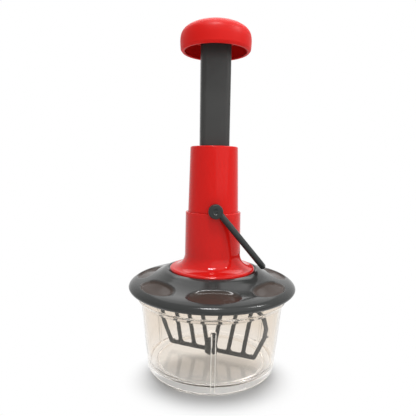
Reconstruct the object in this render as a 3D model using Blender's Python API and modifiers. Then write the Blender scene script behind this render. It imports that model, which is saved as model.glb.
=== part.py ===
"""Plunger food chopper with its whisk fitted.

A clear bowl stands under a domed lid. A column on the lid guides a push-down
stem with a round knob. A nut in the stem's foot rides on a twisted spindle, so
each push spins the whisk, and a spring lifts the stem again. A bail swings on
the column. Lengths are in metres, +Z is up and the bowl stands on z = 0.
"""

import math

import bmesh
import bpy
from mathutils import Matrix, Vector

# Clearances that every fit shares
GAP = 0.0003
RUN = 0.0004
OVERRUN = 0.002
WELD = 0.00001
CORNER_ROOM_share = 0.48
SHARP_ANGLE = math.radians(35)

# Facets
ROUND_STEPS = 3
FINE_ROUND_STEPS = 2
BOWL_STEPS = 40
LID_STEPS = 48
SHELL_STEPS = 36
SMALL_STEPS = 20
SCREW_STEPS = 10

# Bowl
BOWL_HEIGHT = 0.083
BOWL_BAND_RADIUS = 0.0764
BOWL_BAND_DEPTH = 0.0092
BOWL_STEP_WIDTH = 0.0039
BOWL_SHOULDER_DROP = 0.0039
BOWL_TAPER_WIDTH = 0.0071
BOWL_WALL = 0.0024
BOWL_CORNER = 0.0055
BOWL_FLOOR = 0.003
BOWL_FOOT_WIDTH = 0.0034
BOWL_FOOT_DEPTH = 0.0055
BOWL_LIP_REACH = 0.0029
BOWL_LIP_THICKNESS = 0.002
BOWL_RIB_COUNT = 3
BOWL_RIB_WIDTH = 0.0036
BOWL_RIB_DEPTH = 0.0012
BOWL_RIB_HEIGHT = 0.061
BOWL_RIB_FOOT_share = 0.25
BOWL_RIB_TURN = math.radians(-92.7)

# Lid
LID_WALL = 0.0026
LID_FIT = 0.0007
LID_OVERLAP = 0.0014
LID_RISE = 0.0205
LID_SEAT_DEPTH = 0.0016
LID_SEAT_FIT = 0.0006
LID_PROFILE_shares = (
    (0.046, 1.0),
    (0.12, 0.966),
    (0.218, 0.863),
    (0.34, 0.732),
    (0.487, 0.615),
    (0.633, 0.537),
    (0.756, 0.493),
    (0.853, 0.439),
    (0.927, 0.361),
    (0.98, 0.263),
    (1.0, 0.176),
    (0.985, 0.088),
    (0.941, 0.0),
)
LID_PETAL_COUNT = 7
LID_PETAL_DEPTH = 0.0037
LID_PETAL_TURN = math.radians(-92.7)
LID_PETAL_HALF_ANGLE = math.radians(20.5)
LID_PETAL_INNER_share = 0.28
LID_PETAL_OUTER_share = 0.86
LID_PETAL_EDGE_share = 0.4
LID_PETAL_SQUARENESS = 2.4
LID_RIB_WIDTH = 0.003
LID_BOSS_WALL = 0.003
LID_BOSS_LENGTH = 0.0087
LID_BOSS_LIP = 0.0012
LID_BOSS_LIP_REACH = 0.003

# Seals and dampers
SEAL_THICKNESS = 0.0016
SHAFT_SEAL_THICKNESS = 0.0023
DAMPER_THICKNESS = 0.0019
DAMPER_WIDTH = 0.0073

# Column and its flared collar
COLUMN_HEIGHT = 0.1251
COLUMN_RADIUS = 0.0255
COLUMN_TOP_RADIUS = 0.0239
COLUMN_BORE_RADIUS = 0.0216
COLUMN_LIP_ROUND = 0.0014
COLUMN_MOUTH_THICKNESS = 0.005
COLUMN_RIB_COUNT = 4
COLUMN_RIB_WIDTH = 0.006
COLUMN_RIB_SEAT = 0.001
POST_RADIUS = 0.0034
POST_HEIGHT = 0.006
COLLAR_HEIGHT = 0.0598
COLLAR_WALL = 0.0022
COLLAR_TAPER = 0.0004
COLLAR_LIP_ROUND = 0.0008
COLLAR_FLARE_RADIUS = 0.0133
COLLAR_FLANGE_RADIUS = 0.0435
COLLAR_FLANGE_EDGE = 0.0015
COLLAR_RIM_RISE = 0.0017

# Lid screws
SCREW_HEAD_RADIUS = 0.003
SCREW_HEAD_HEIGHT = 0.0019
SCREW_SHANK_RADIUS = 0.0014
SCREW_TIP_SPACE = 0.001
SCREW_COUNT = 4

# Plunger
STROKE = 0.075
STEM_WIDTH = 0.0288
STEM_DEPTH = 0.026
STEM_CORNER = 0.0055
STEM_WALL = 0.0022
STEM_LENGTH = 0.1415
STEM_TAPER_share = 0.02
FOOT_THICKNESS = 0.0083
FOOT_FLOOR = 0.002
FOOT_PLUG_HEIGHT = 0.0077
NUT_HEIGHT = 0.008
NUT_RADIUS = 0.0102
NUT_SIDES = 6
PLUG_THICKNESS = 0.0077
PLUG_DEPTH = 0.012
KNOB_RADIUS = 0.0348
KNOB_HEIGHT = 0.0281
KNOB_WALL = 0.003
KNOB_SOCKET_RISE = 0.0175
KNOB_CORE_RADIUS = 0.0198
KNOB_CORE_RISE = 0.0095
KNOB_CORE_SEAT_share = 0.9
KNOB_PROFILE_shares = (
    (0.0, 1.0),
    (0.339, 0.979),
    (0.593, 0.916),
    (0.791, 0.819),
    (0.910, 0.707),
    (0.977, 0.575),
    (1.0, 0.436),
    (1.0, 0.226),
    (0.989, 0.070),
    (0.946, 0.0),
)
KNOB_POST_RADIUS = 0.005
KNOB_SCREW_HEAD_RADIUS = 0.004
KNOB_SCREW_HEAD_HEIGHT = 0.0015
KNOB_SCREW_RADIUS = 0.0015

# Twisted spindle and what it carries
TWIST_LEAD_LENGTH = 0.05
TWIST_SLICE = 0.0018
TWIST_WIDTH = 0.01
TWIST_THICKNESS = 0.005
TWIST_CHAMFER = 0.0008
TWIST_FACE_PARTS = 3
TWIST_SPARE = 0.0057
THRUST_RADIUS = 0.008
THRUST_THICKNESS = 0.002
WASHER_THICKNESS = 0.001
JOURNAL_RADIUS = 0.0045
JOURNAL_TAIL = 0.0007
BUSH_WALL = 0.0038
BUSH_FLANGE_RADIUS = 0.0125
BUSH_FLANGE_THICKNESS = 0.0025
CLIP_THICKNESS = 0.001
CLIP_RADIUS = 0.0076
CLIP_MOUTH = 0.005
GROOVE_DEPTH = 0.0009
DRIVE_WIDTH = 0.0062
DRIVE_LENGTH = 0.0224
CAP_RADIUS = 0.0085
CAP_GRIP = 0.003
CAP_ROOF = 0.0027

# Return spring
SPRING_RADIUS = 0.0075
SPRING_WIRE_RADIUS = 0.0008
SPRING_TURNS = 9
SPRING_POINTS_PER_TURN = 8

# Whisk
WHISK_TURN = math.radians(-26.5)
WHISK_THICKNESS = 0.0028
WHISK_BAR = 0.004
WHISK_SIDE_GAP = 0.0067
WHISK_HEIGHT = 0.0516
WHISK_FLOOR_GAP = 0.0008
WHISK_RAIL_RISE = 0.0051
WHISK_FRAME_shares = (
    (0.801, 0.0),
    (0.971, 0.426),
    (1.0, 0.626),
    (0.957, 0.816),
    (0.852, 0.942),
    (0.801, 1.0),
)
WHISK_BAR_FOOT_shares = (0.06, 0.324, 0.598)
WHISK_BAR_HEAD_shares = (0.215, 0.494, 0.75)
WHISK_HEAD_ARCH = 0.0016
WHISK_FOOT_ARCH = 0.0007
WHISK_OPENING_LOW_share = 0.2
WHISK_OPENING_HIGH_share = 0.73
WHISK_CORNER_ROUND = 0.002
WHISK_HUB_RADIUS = 0.0064
WHISK_HUB_HEIGHT = 0.0157
WHISK_SOCKET_RADIUS = 0.0075
WHISK_SOCKET_START_share = 0.78
WHISK_NIB_LENGTH = 0.0036
WHISK_NIB_WIDTH = 0.0014
WHISK_NIB_share = (1.01, 0.46)
WHISK_NIB_TURN = math.radians(25)

# Bail
BAIL_PIVOT_RISE = 0.003
BAIL_REST_TURN = math.radians(140)
BAIL_LENGTH = 0.072
BAIL_ROD_RADIUS = 0.0031
BAIL_ROD_OFFSET = 0.0016
BAIL_BEND = 0.009
BAIL_DISC_RADIUS = 0.007
BAIL_DISC_THICKNESS = 0.0064
BAIL_DISC_ROUND = 0.001
BAIL_SIDE_GAP = 0.0006
BAIL_STUB_RADIUS = 0.0026
BAIL_STUB_SEAT = 0.0005

# Heights that follow from the stack
LID_HEM = BOWL_HEIGHT - LID_OVERLAP
LID_RIDGE = LID_HEM + LID_RISE
LID_SEAT = LID_RIDGE - LID_SEAT_DEPTH
LID_SEAT_UNDERSIDE = LID_SEAT - LID_WALL
SEAL_BOTTOM = BOWL_HEIGHT + GAP
SEAL_TOP = SEAL_BOTTOM + SEAL_THICKNESS
BOSS_BOTTOM = LID_SEAT_UNDERSIDE - LID_BOSS_LENGTH
SHAFT_SEAL_BOTTOM = BOSS_BOTTOM + LID_BOSS_LIP + GAP
COLUMN_BOTTOM = LID_SEAT + GAP
COLLAR_TOP = COLUMN_BOTTOM + COLLAR_HEIGHT
POST_TOP = COLUMN_BOTTOM + POST_HEIGHT
DAMPER_BOTTOM = POST_TOP + GAP
FOOT_BOTTOM = DAMPER_BOTTOM + DAMPER_THICKNESS + GAP + STROKE
FOOT_TOP = FOOT_BOTTOM + FOOT_THICKNESS
STEM_BOTTOM = FOOT_TOP + GAP
STEM_TOP = STEM_BOTTOM + STEM_LENGTH
NUT_BOTTOM = FOOT_BOTTOM + FOOT_FLOOR + GAP
NUT_TOP = NUT_BOTTOM + NUT_HEIGHT
BUSH_TOP = COLUMN_BOTTOM + BUSH_FLANGE_THICKNESS
WASHER_BOTTOM = BUSH_TOP + GAP
THRUST_BOTTOM = WASHER_BOTTOM + WASHER_THICKNESS + GAP
THRUST_TOP = THRUST_BOTTOM + THRUST_THICKNESS
TWIST_TOP = NUT_TOP + TWIST_SPARE
CAP_BOTTOM = TWIST_TOP - CAP_GRIP
CAP_TOP = TWIST_TOP + GAP + CAP_ROOF
CLIP_TOP = BOSS_BOTTOM - GAP
CLIP_BOTTOM = CLIP_TOP - CLIP_THICKNESS
GROOVE_BOTTOM = CLIP_BOTTOM - GAP
JOURNAL_BOTTOM = GROOVE_BOTTOM - JOURNAL_TAIL
DRIVE_BOTTOM = JOURNAL_BOTTOM - DRIVE_LENGTH
KNOB_BOTTOM = STEM_TOP + GAP - KNOB_SOCKET_RISE
PLUG_TOP = STEM_TOP - PLUG_DEPTH
PLUG_BOTTOM = PLUG_TOP - PLUG_THICKNESS
BAIL_PIVOT = COLLAR_TOP + BAIL_PIVOT_RISE
BOWL_FLOOR_TOP = BOWL_FOOT_DEPTH + BOWL_FLOOR
WHISK_BOTTOM = BOWL_FLOOR_TOP + WHISK_FLOOR_GAP
WHISK_RAIL = WHISK_BOTTOM + WHISK_RAIL_RISE
WHISK_TOP = JOURNAL_BOTTOM - GAP

# Radii that follow from the fits
BOWL_LIP_RADIUS = BOWL_BAND_RADIUS + BOWL_LIP_REACH
BOWL_SHOULDER_RADIUS = BOWL_BAND_RADIUS - BOWL_STEP_WIDTH
BOWL_BASE_RADIUS = BOWL_SHOULDER_RADIUS - BOWL_TAPER_WIDTH
WHISK_REACH = BOWL_BASE_RADIUS - WHISK_SIDE_GAP
LID_SEAT_RADIUS = COLLAR_FLANGE_RADIUS + LID_SEAT_FIT
LID_HEM_RADIUS = BOWL_LIP_RADIUS + LID_FIT + LID_WALL
LID_WIDTH = (LID_HEM_RADIUS - LID_SEAT_RADIUS) / LID_PROFILE_shares[-1][0]
COLLAR_BORE_RADIUS = COLUMN_RADIUS + GAP
COLLAR_RADIUS = COLLAR_BORE_RADIUS + COLLAR_WALL
BUSH_BORE_RADIUS = JOURNAL_RADIUS + GAP
BUSH_SLEEVE_RADIUS = BUSH_BORE_RADIUS + BUSH_WALL
LID_BORE_RADIUS = BUSH_SLEEVE_RADIUS + GAP
POST_CIRCLE = COLUMN_BORE_RADIUS - POST_RADIUS + COLUMN_RIB_SEAT
SCREW_HOLE_RADIUS = SCREW_SHANK_RADIUS + GAP
STEM_TOP_WIDTH = STEM_WIDTH * (1 + STEM_TAPER_share)
TWIST_RATE = math.tau / TWIST_LEAD_LENGTH

PARTS = bpy.data.collections.new("plunger_food_chopper")
TOOLS = bpy.data.collections.new("cutters_and_joined_shapes")

# Colour, roughness, metallic, alpha
MATERIALS = {
    "red_plastic": ((0.70, 0.012, 0.008), 0.22, 0.0, 1.0),
    "lid_plastic": ((0.075, 0.078, 0.075), 0.12, 0.0, 1.0),
    "stem_plastic": ((0.045, 0.045, 0.043), 0.4, 0.0, 1.0),
    "black_plastic": ((0.022, 0.026, 0.026), 0.35, 0.0, 1.0),
    "clear_plastic": ((0.85, 0.80, 0.75), 0.05, 0.0, 0.35),
    "nylon": ((0.75, 0.74, 0.70), 0.4, 0.0, 1.0),
    "seal_rubber": ((0.35, 0.36, 0.37), 0.6, 0.0, 1.0),
    "steel": ((0.62, 0.62, 0.60), 0.25, 1.0, 1.0),
}


def clear_scene():
    """Start from an empty file."""
    for obj in list(bpy.data.objects):
        bpy.data.objects.remove(obj)
    bpy.context.scene.collection.children.link(PARTS)
    bpy.context.scene.collection.children.link(TOOLS)


def material(name):
    """A Principled material from the table above."""
    found = bpy.data.materials.get(name)
    if found:
        return found
    colour, roughness, metallic, alpha = MATERIALS[name]
    made = bpy.data.materials.new(name)
    made.use_nodes = True
    shader = made.node_tree.nodes["Principled BSDF"]
    shader.inputs["Base Color"].default_value = (*colour, 1.0)
    shader.inputs["Roughness"].default_value = roughness
    shader.inputs["Metallic"].default_value = metallic
    shader.inputs["Alpha"].default_value = alpha
    return made


def part(name, mesh, finish, parent, height=0.0):
    """A sub-part in its own material, on its moving body's empty."""
    obj = bpy.data.objects.new(name, mesh)
    PARTS.objects.link(obj)
    mesh.materials.clear()
    mesh.materials.append(material(finish))
    mesh.shade_smooth()
    mesh.set_sharp_from_angle(angle=SHARP_ANGLE)
    obj.parent = parent
    obj.location.z = height
    return obj


def shape(obj, name, mesh, operation):
    """Joins another closed shape to a part, or cuts it away."""
    tool = bpy.data.objects.new(name, mesh)
    TOOLS.objects.link(tool)
    tool.parent = obj
    tool.hide_render = True
    tool.display_type = "WIRE"
    modifier = obj.modifiers.new(name, "BOOLEAN")
    modifier.operation = operation
    modifier.solver = "EXACT"
    modifier.object = tool
    return tool


def join(obj, name, mesh):
    return shape(obj, name, mesh, "UNION")


def cut(obj, name, mesh):
    return shape(obj, name, mesh, "DIFFERENCE")


def body(name):
    """The empty that carries the pieces of one moving body."""
    empty = bpy.data.objects.new(name, None)
    PARTS.objects.link(empty)
    return empty


def baked(obj):
    """The evaluated mesh of an object that was only made to get it."""
    bpy.context.view_layer.update()
    graph = bpy.context.evaluated_depsgraph_get()
    mesh = bpy.data.meshes.new_from_object(obj.evaluated_get(graph))
    bpy.data.objects.remove(obj)
    sheet = bmesh.new()
    sheet.from_mesh(mesh)
    bmesh.ops.remove_doubles(sheet, verts=sheet.verts, dist=WELD)
    sheet.to_mesh(mesh)
    sheet.free()
    return mesh


def outward(mesh):
    """Turns the faces of a closed mesh outward."""
    sheet = bmesh.new()
    sheet.from_mesh(mesh)
    bmesh.ops.recalc_face_normals(sheet, faces=sheet.faces)
    sheet.to_mesh(mesh)
    sheet.free()
    return mesh


def rounded(corners, closed=True, steps=ROUND_STEPS):
    """An outline's corners, each (x, y) or (x, y, radius), with arcs where a radius is given."""
    points = []
    count = len(corners)
    for index, corner in enumerate(corners):
        here = Vector(corner[:2])
        at_end = not closed and index in (0, count - 1)
        if len(corner) == 2 or at_end:
            points.append(here)
            continue
        back = Vector(corners[index - 1][:2]) - here
        ahead = Vector(corners[(index + 1) % count][:2]) - here
        half = back.angle(ahead) / 2
        room = min(back.length, ahead.length) * CORNER_ROOM_share
        reach = min(corner[2] / math.tan(half), room)
        radius = reach * math.tan(half)
        middle = (back.normalized() + ahead.normalized()).normalized()
        centre = here + middle * radius / math.sin(half)
        start = here + back.normalized() * reach - centre
        finish = here + ahead.normalized() * reach - centre
        sweep = start.angle_signed(finish)
        for step in range(steps + 1):
            turn = Matrix.Rotation(-sweep * step / steps, 2)
            points.append(centre + turn @ start)
    return points


def turned(corners, steps, closed=False):
    """A profile of (radius, height) corners turned round the Z axis."""
    points = rounded(corners, closed)
    count = len(points)
    edges = [(i, (i + 1) % count) for i in range(count if closed else count - 1)]
    profile = bpy.data.meshes.new("profile")
    profile.from_pydata([(r, 0.0, z) for r, z in points], edges, [])
    obj = bpy.data.objects.new("profile", profile)
    bpy.context.scene.collection.objects.link(obj)
    screw = obj.modifiers.new("turn", "SCREW")
    screw.axis = "Z"
    screw.angle = math.tau
    screw.steps = steps
    screw.render_steps = steps
    screw.use_merge_vertices = True
    screw.merge_threshold = WELD
    return baked(obj)


def half_turned(mesh, steps):
    """Turned by half a facet, so that its corners fall between the facets of the shape it joins."""
    mesh.transform(Matrix.Rotation(math.pi / steps, 4, "Z"))
    return mesh


def ring(inner, outer, bottom, top, steps, edge=0.0):
    """A flat ring, or a tube, with rounded outer edges where an edge radius is given."""
    corners = [(outer, top, edge), (outer, bottom, edge), (inner, bottom), (inner, top)]
    if not edge:
        corners = [corner[:2] for corner in corners]
    return turned(corners, steps, closed=True)


def disc(radius, bottom, top, steps):
    """A plain round bar on the Z axis."""
    return turned([(0.0, top), (radius, top), (radius, bottom), (0.0, bottom)], steps)


def slab(outlines, bottom, top):
    """A flat outline, with holes for the outlines after the first, raised from bottom to top."""
    curve = bpy.data.curves.new("outline", "CURVE")
    curve.dimensions = "2D"
    curve.fill_mode = "BOTH"
    curve.extrude = (top - bottom) / 2
    for outline in outlines:
        spline = curve.splines.new("POLY")
        spline.points.add(len(outline) - 1)
        for point, place in zip(spline.points, outline):
            point.co = (*place, 0.0, 1.0)
        spline.use_cyclic_u = True
    obj = bpy.data.objects.new("outline", curve)
    bpy.context.scene.collection.objects.link(obj)
    mesh = baked(obj)
    mesh.transform(Matrix.Translation((0.0, 0.0, (bottom + top) / 2)))
    return outward(mesh)


def rounded_box(width, depth, corner, bottom, top):
    """A post with a rounded rectangular section."""
    x, y = width / 2, depth / 2
    corners = [(x, y, corner), (-x, y, corner), (-x, -y, corner), (x, -y, corner)]
    return slab([rounded(corners)], bottom, top)


def box(low, high):
    """A plain block between two corners."""
    sheet = bmesh.new()
    bmesh.ops.create_cube(sheet, size=1.0)
    size = Vector(high) - Vector(low)
    bmesh.ops.scale(sheet, vec=size, verts=sheet.verts)
    bmesh.ops.translate(sheet, vec=(Vector(high) + Vector(low)) / 2, verts=sheet.verts)
    mesh = bpy.data.meshes.new("block")
    sheet.to_mesh(mesh)
    sheet.free()
    return mesh


def round_bar(radius, start, end, steps):
    """A cylinder from one point to another."""
    start, end = Vector(start), Vector(end)
    sheet = bmesh.new()
    bmesh.ops.create_cone(
        sheet,
        cap_ends=True,
        segments=steps,
        radius1=radius,
        radius2=radius,
        depth=(end - start).length,
    )
    mesh = bpy.data.meshes.new("bar")
    sheet.to_mesh(mesh)
    sheet.free()
    turn = (end - start).to_track_quat("Z", "Y").to_matrix().to_4x4()
    mesh.transform(Matrix.Translation((start + end) / 2) @ turn)
    return mesh


def around(count, start=0.0):
    """Evenly spaced angles."""
    return [start + math.tau * step / count for step in range(count)]


def twisted_bar(width, thickness, bottom, top):
    """A flat bar twisted once per lead. Its section at height z is turned by z times the rate."""
    x, y, c = width / 2, thickness / 2, TWIST_CHAMFER
    upper = [(x, y - c), (x - c, y), (c - x, y), (-x, y - c)]
    corners = upper + [(-px, -py) for px, py in upper]
    section = []
    for index, here in enumerate(corners):
        ahead = corners[(index + 1) % len(corners)]
        parts = TWIST_FACE_PARTS if here[1] == ahead[1] else 1
        section += [Vector(here).lerp(Vector(ahead), part / parts) for part in range(parts)]
    count = len(section)
    profile = bpy.data.meshes.new("section")
    edges = [(i, (i + 1) % count) for i in range(count)]
    profile.from_pydata([(p.x, p.y, 0.0) for p in section], edges, [])
    start = Matrix.Translation((0.0, 0.0, bottom))
    profile.transform(start @ Matrix.Rotation(TWIST_RATE * bottom, 4, "Z"))
    obj = bpy.data.objects.new("section", profile)
    bpy.context.scene.collection.objects.link(obj)
    screw = obj.modifiers.new("twist", "SCREW")
    screw.axis = "Z"
    screw.angle = TWIST_RATE * (top - bottom)
    screw.screw_offset = top - bottom
    screw.steps = max(2, round((top - bottom) / TWIST_SLICE))
    screw.render_steps = screw.steps
    mesh = baked(obj)
    sheet = bmesh.new()
    sheet.from_mesh(mesh)
    open_edges = [edge for edge in sheet.edges if edge.is_boundary]
    bmesh.ops.holes_fill(sheet, edges=open_edges, sides=0)
    sheet.to_mesh(mesh)
    sheet.free()
    return outward(mesh)


def bowl_wall_radius(height):
    """The outer radius of the bowl's tapered wall."""
    shoulder = BOWL_HEIGHT - BOWL_BAND_DEPTH - BOWL_SHOULDER_DROP
    return BOWL_BASE_RADIUS + (BOWL_SHOULDER_RADIUS - BOWL_BASE_RADIUS) * height / shoulder


def make_bowl():
    """A tapered clear cup with a stepped band, a rim lip, a foot ring and outer ribs."""
    band = BOWL_HEIGHT - BOWL_BAND_DEPTH
    shoulder = band - BOWL_SHOULDER_DROP
    foot = BOWL_BASE_RADIUS - BOWL_CORNER - BOWL_FOOT_WIDTH
    mesh = turned(
        [
            (0.0, BOWL_FLOOR_TOP),
            (bowl_wall_radius(BOWL_FLOOR_TOP) - BOWL_WALL, BOWL_FLOOR_TOP, BOWL_CORNER),
            (BOWL_SHOULDER_RADIUS - BOWL_WALL, shoulder),
            (BOWL_BAND_RADIUS - BOWL_WALL, band),
            (BOWL_BAND_RADIUS - BOWL_WALL, BOWL_HEIGHT),
            (BOWL_LIP_RADIUS, BOWL_HEIGHT),
            (BOWL_LIP_RADIUS, BOWL_HEIGHT - BOWL_LIP_THICKNESS),
            (BOWL_BAND_RADIUS, BOWL_HEIGHT - BOWL_LIP_THICKNESS),
            (BOWL_BAND_RADIUS, band),
            (BOWL_SHOULDER_RADIUS, shoulder),
            (BOWL_BASE_RADIUS, 0.0, BOWL_CORNER),
            (foot, 0.0),
            (foot, BOWL_FOOT_DEPTH),
            (0.0, BOWL_FOOT_DEPTH),
        ],
        BOWL_STEPS,
    )
    bowl = part("bowl", mesh, "clear_plastic", None)
    low = BOWL_CORNER * BOWL_RIB_FOOT_share
    side = [
        (bowl_wall_radius(low) - BOWL_WALL / 2, low),
        (bowl_wall_radius(low) + BOWL_RIB_DEPTH, low),
        (bowl_wall_radius(BOWL_RIB_HEIGHT) + BOWL_RIB_DEPTH, BOWL_RIB_HEIGHT),
        (bowl_wall_radius(BOWL_RIB_HEIGHT) - BOWL_WALL / 2, BOWL_RIB_HEIGHT),
    ]
    for index, angle in enumerate(around(BOWL_RIB_COUNT, BOWL_RIB_TURN)):
        rib = slab([side], -BOWL_RIB_WIDTH / 2, BOWL_RIB_WIDTH / 2)
        rib.transform(Matrix.Rotation(angle, 4, "Z") @ Matrix.Rotation(math.pi / 2, 4, "X"))
        join(bowl, f"bowl_rib_{index + 1}", rib)
    return bowl


def lid_height(radius):
    """The lid's top surface, without its petals, above the hem."""
    share = (radius - LID_SEAT_RADIUS) / LID_WIDTH
    for (inner, high), (outer, low) in zip(LID_PROFILE_shares, LID_PROFILE_shares[1:]):
        if share <= outer:
            return LID_RISE * (high + (low - high) * (share - inner) / (outer - inner))
    return LID_RISE * LID_PROFILE_shares[-1][1]


def petal_depth(x, y):
    """How far a petal sinks the lid's surface: full inside a rounded outline, none outside, sloped between."""
    share = (math.hypot(x, y) - LID_SEAT_RADIUS) / LID_WIDTH
    middle = (LID_PETAL_INNER_share + LID_PETAL_OUTER_share) / 2
    reach = (LID_PETAL_OUTER_share - LID_PETAL_INNER_share) / 2
    pitch = math.tau / LID_PETAL_COUNT
    turn = (math.atan2(y, x) - LID_PETAL_TURN + pitch / 2) % pitch - pitch / 2
    side = abs(turn) / LID_PETAL_HALF_ANGLE
    along = abs(share - middle) / reach
    out = (side**LID_PETAL_SQUARENESS + along**LID_PETAL_SQUARENESS) ** (1 / LID_PETAL_SQUARENESS)
    return LID_PETAL_DEPTH * min(max((1 - out) / LID_PETAL_EDGE_share, 0.0), 1.0)


def make_lid(unit):
    """A domed lid with six petals, a seat for the collar, a seal rib and a boss for the bearing."""
    boss_radius = LID_BORE_RADIUS + LID_BOSS_WALL
    seat = LID_SEAT - LID_HEM
    corners = [(boss_radius - LID_BOSS_WALL / 2, seat), (LID_SEAT_RADIUS, seat)]
    corners += [(LID_SEAT_RADIUS + LID_WIDTH * r, LID_RISE * z) for r, z in LID_PROFILE_shares]
    mesh = turned(corners, LID_STEPS)
    for vertex in mesh.vertices:
        vertex.co.z -= petal_depth(vertex.co.x, vertex.co.y)
    lid = part("lid", mesh, "lid_plastic", unit, LID_HEM)
    shell = lid.modifiers.new("shell", "SOLIDIFY")
    shell.thickness = LID_WALL
    shell.offset = -1
    shell.use_even_offset = True

    rib_outer = BOWL_BAND_RADIUS
    rib_inner = rib_outer - LID_RIB_WIDTH
    rib_foot = SEAL_TOP + GAP - LID_HEM
    seal_rib = [
        (rib_outer, lid_height(rib_outer) - LID_WALL / 2),
        (rib_outer, rib_foot),
        (rib_inner, rib_foot),
        (rib_inner, lid_height(rib_inner) - LID_WALL / 2),
    ]
    join(lid, "lid_seal_rib", half_turned(turned(seal_rib, LID_STEPS, closed=True), LID_STEPS))
    foot = BOSS_BOTTOM - LID_HEM
    lip = LID_BORE_RADIUS - LID_BOSS_LIP_REACH
    boss = [
        (boss_radius, seat - GAP),
        (boss_radius, foot),
        (lip, foot),
        (lip, foot + LID_BOSS_LIP),
        (LID_BORE_RADIUS, foot + LID_BOSS_LIP),
        (LID_BORE_RADIUS, seat - GAP),
    ]
    join(lid, "lid_boss", half_turned(turned(boss, SMALL_STEPS, closed=True), LID_STEPS))
    for index, (x, y) in enumerate(screw_places()):
        low = (x, y, seat - LID_WALL - OVERRUN)
        high = (x, y, seat + OVERRUN)
        cut(lid, f"lid_screw_hole_{index + 1}", round_bar(SCREW_HOLE_RADIUS, low, high, SCREW_STEPS))


def screw_places():
    """Where the lid screws stand, on the diagonals of the column."""
    angles = around(SCREW_COUNT, math.pi / SCREW_COUNT)
    return [(POST_CIRCLE * math.cos(angle), POST_CIRCLE * math.sin(angle)) for angle in angles]


def make_seals(unit):
    """The rim seal, the shaft seal and the ring that softens the stem's landing."""
    rim = ring(BOWL_BAND_RADIUS - BOWL_WALL, BOWL_LIP_RADIUS, 0.0, SEAL_THICKNESS, LID_STEPS)
    part("lid_seal", rim, "seal_rubber", unit, SEAL_BOTTOM)
    shaft = ring(BUSH_BORE_RADIUS, BUSH_SLEEVE_RADIUS, 0.0, SHAFT_SEAL_THICKNESS, SMALL_STEPS)
    part("shaft_seal", shaft, "seal_rubber", unit, SHAFT_SEAL_BOTTOM)
    outer = COLUMN_BORE_RADIUS - 2 * RUN
    damper = ring(outer - DAMPER_WIDTH, outer, 0.0, DAMPER_THICKNESS, SHELL_STEPS)
    part("damper_ring", damper, "seal_rubber", unit, DAMPER_BOTTOM)


def flare(centre, radius, steps):
    """A quarter arc from level with its centre, on the axis side, down to straight below it."""
    angles = [math.pi + math.pi / 2 * step / steps for step in range(steps + 1)]
    arms = [Vector((math.cos(angle), math.sin(angle))) for angle in angles]
    return [tuple(centre + arm * radius) for arm in arms]


def make_collar(unit):
    """The sleeve round the column's foot, flared into a flange that sits in the lid."""
    flare_height = COLLAR_FLANGE_EDGE + COLLAR_RIM_RISE + COLLAR_FLARE_RADIUS
    centre = Vector((COLLAR_RADIUS + COLLAR_FLARE_RADIUS, flare_height))
    outer = flare(centre, COLLAR_FLARE_RADIUS, 2 * ROUND_STEPS)
    inner = flare(centre, COLLAR_FLARE_RADIUS + COLLAR_WALL, ROUND_STEPS)
    corners = [(COLLAR_RADIUS - COLLAR_TAPER, COLLAR_HEIGHT, COLLAR_LIP_ROUND)]
    corners += outer
    corners += [(COLLAR_FLANGE_RADIUS, COLLAR_FLANGE_EDGE), (COLLAR_FLANGE_RADIUS, 0.0)]
    corners += [(centre.x, 0.0)]
    corners += reversed(inner)
    corners += [(COLLAR_BORE_RADIUS, COLLAR_HEIGHT)]
    part("collar", turned(corners, SHELL_STEPS, closed=True), "red_plastic", unit, COLUMN_BOTTOM)


def make_column(unit):
    """The upright tube: a shaped mouth for the stem, inner guide ribs, screw posts and pivot holes."""
    mouth_underside = COLUMN_HEIGHT - COLUMN_MOUTH_THICKNESS
    corners = [
        (0.0, COLUMN_HEIGHT),
        (COLUMN_TOP_RADIUS, COLUMN_HEIGHT, COLUMN_LIP_ROUND),
        (COLUMN_RADIUS, COLLAR_HEIGHT),
        (COLUMN_RADIUS, 0.0),
        (COLUMN_BORE_RADIUS, 0.0),
        (COLUMN_BORE_RADIUS, mouth_underside),
        (0.0, mouth_underside),
    ]
    column = part("column", turned(corners, SHELL_STEPS), "red_plastic", unit, COLUMN_BOTTOM)
    mouth_x = STEM_TOP_WIDTH + 2 * RUN
    mouth_y = STEM_DEPTH + 2 * RUN
    rib_low = FOOT_TOP + GAP - COLUMN_BOTTOM
    rib_high = mouth_underside + COLUMN_RIB_SEAT
    far = COLUMN_BORE_RADIUS + COLUMN_RIB_SEAT
    for index, angle in enumerate(around(COLUMN_RIB_COUNT)):
        near = (mouth_x if index % 2 == 0 else mouth_y) / 2 + GAP
        rib = box((near, -COLUMN_RIB_WIDTH / 2, rib_low), (far, COLUMN_RIB_WIDTH / 2, rib_high))
        rib.transform(Matrix.Rotation(angle, 4, "Z"))
        join(column, f"column_rib_{index + 1}", rib)
    for index, (x, y) in enumerate(screw_places()):
        post = round_bar(POST_RADIUS, (x, y, 0.0), (x, y, POST_HEIGHT), SCREW_STEPS)
        join(column, f"screw_post_{index + 1}", post)
        low, high = (x, y, -OVERRUN), (x, y, POST_HEIGHT + OVERRUN)
        cut(column, f"pilot_hole_{index + 1}", round_bar(SCREW_HOLE_RADIUS, low, high, SCREW_STEPS))
    low, high = mouth_underside - OVERRUN, COLUMN_HEIGHT + OVERRUN
    opening = rounded_box(mouth_x, mouth_y, STEM_CORNER, low, high)
    cut(column, "column_mouth", opening)
    reach = COLUMN_RADIUS + OVERRUN
    height = BAIL_PIVOT - COLUMN_BOTTOM
    pivot = round_bar(BAIL_STUB_RADIUS + GAP, (0.0, -reach, height), (0.0, reach, height), SCREW_STEPS)
    cut(column, "pivot_hole", pivot)


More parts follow.
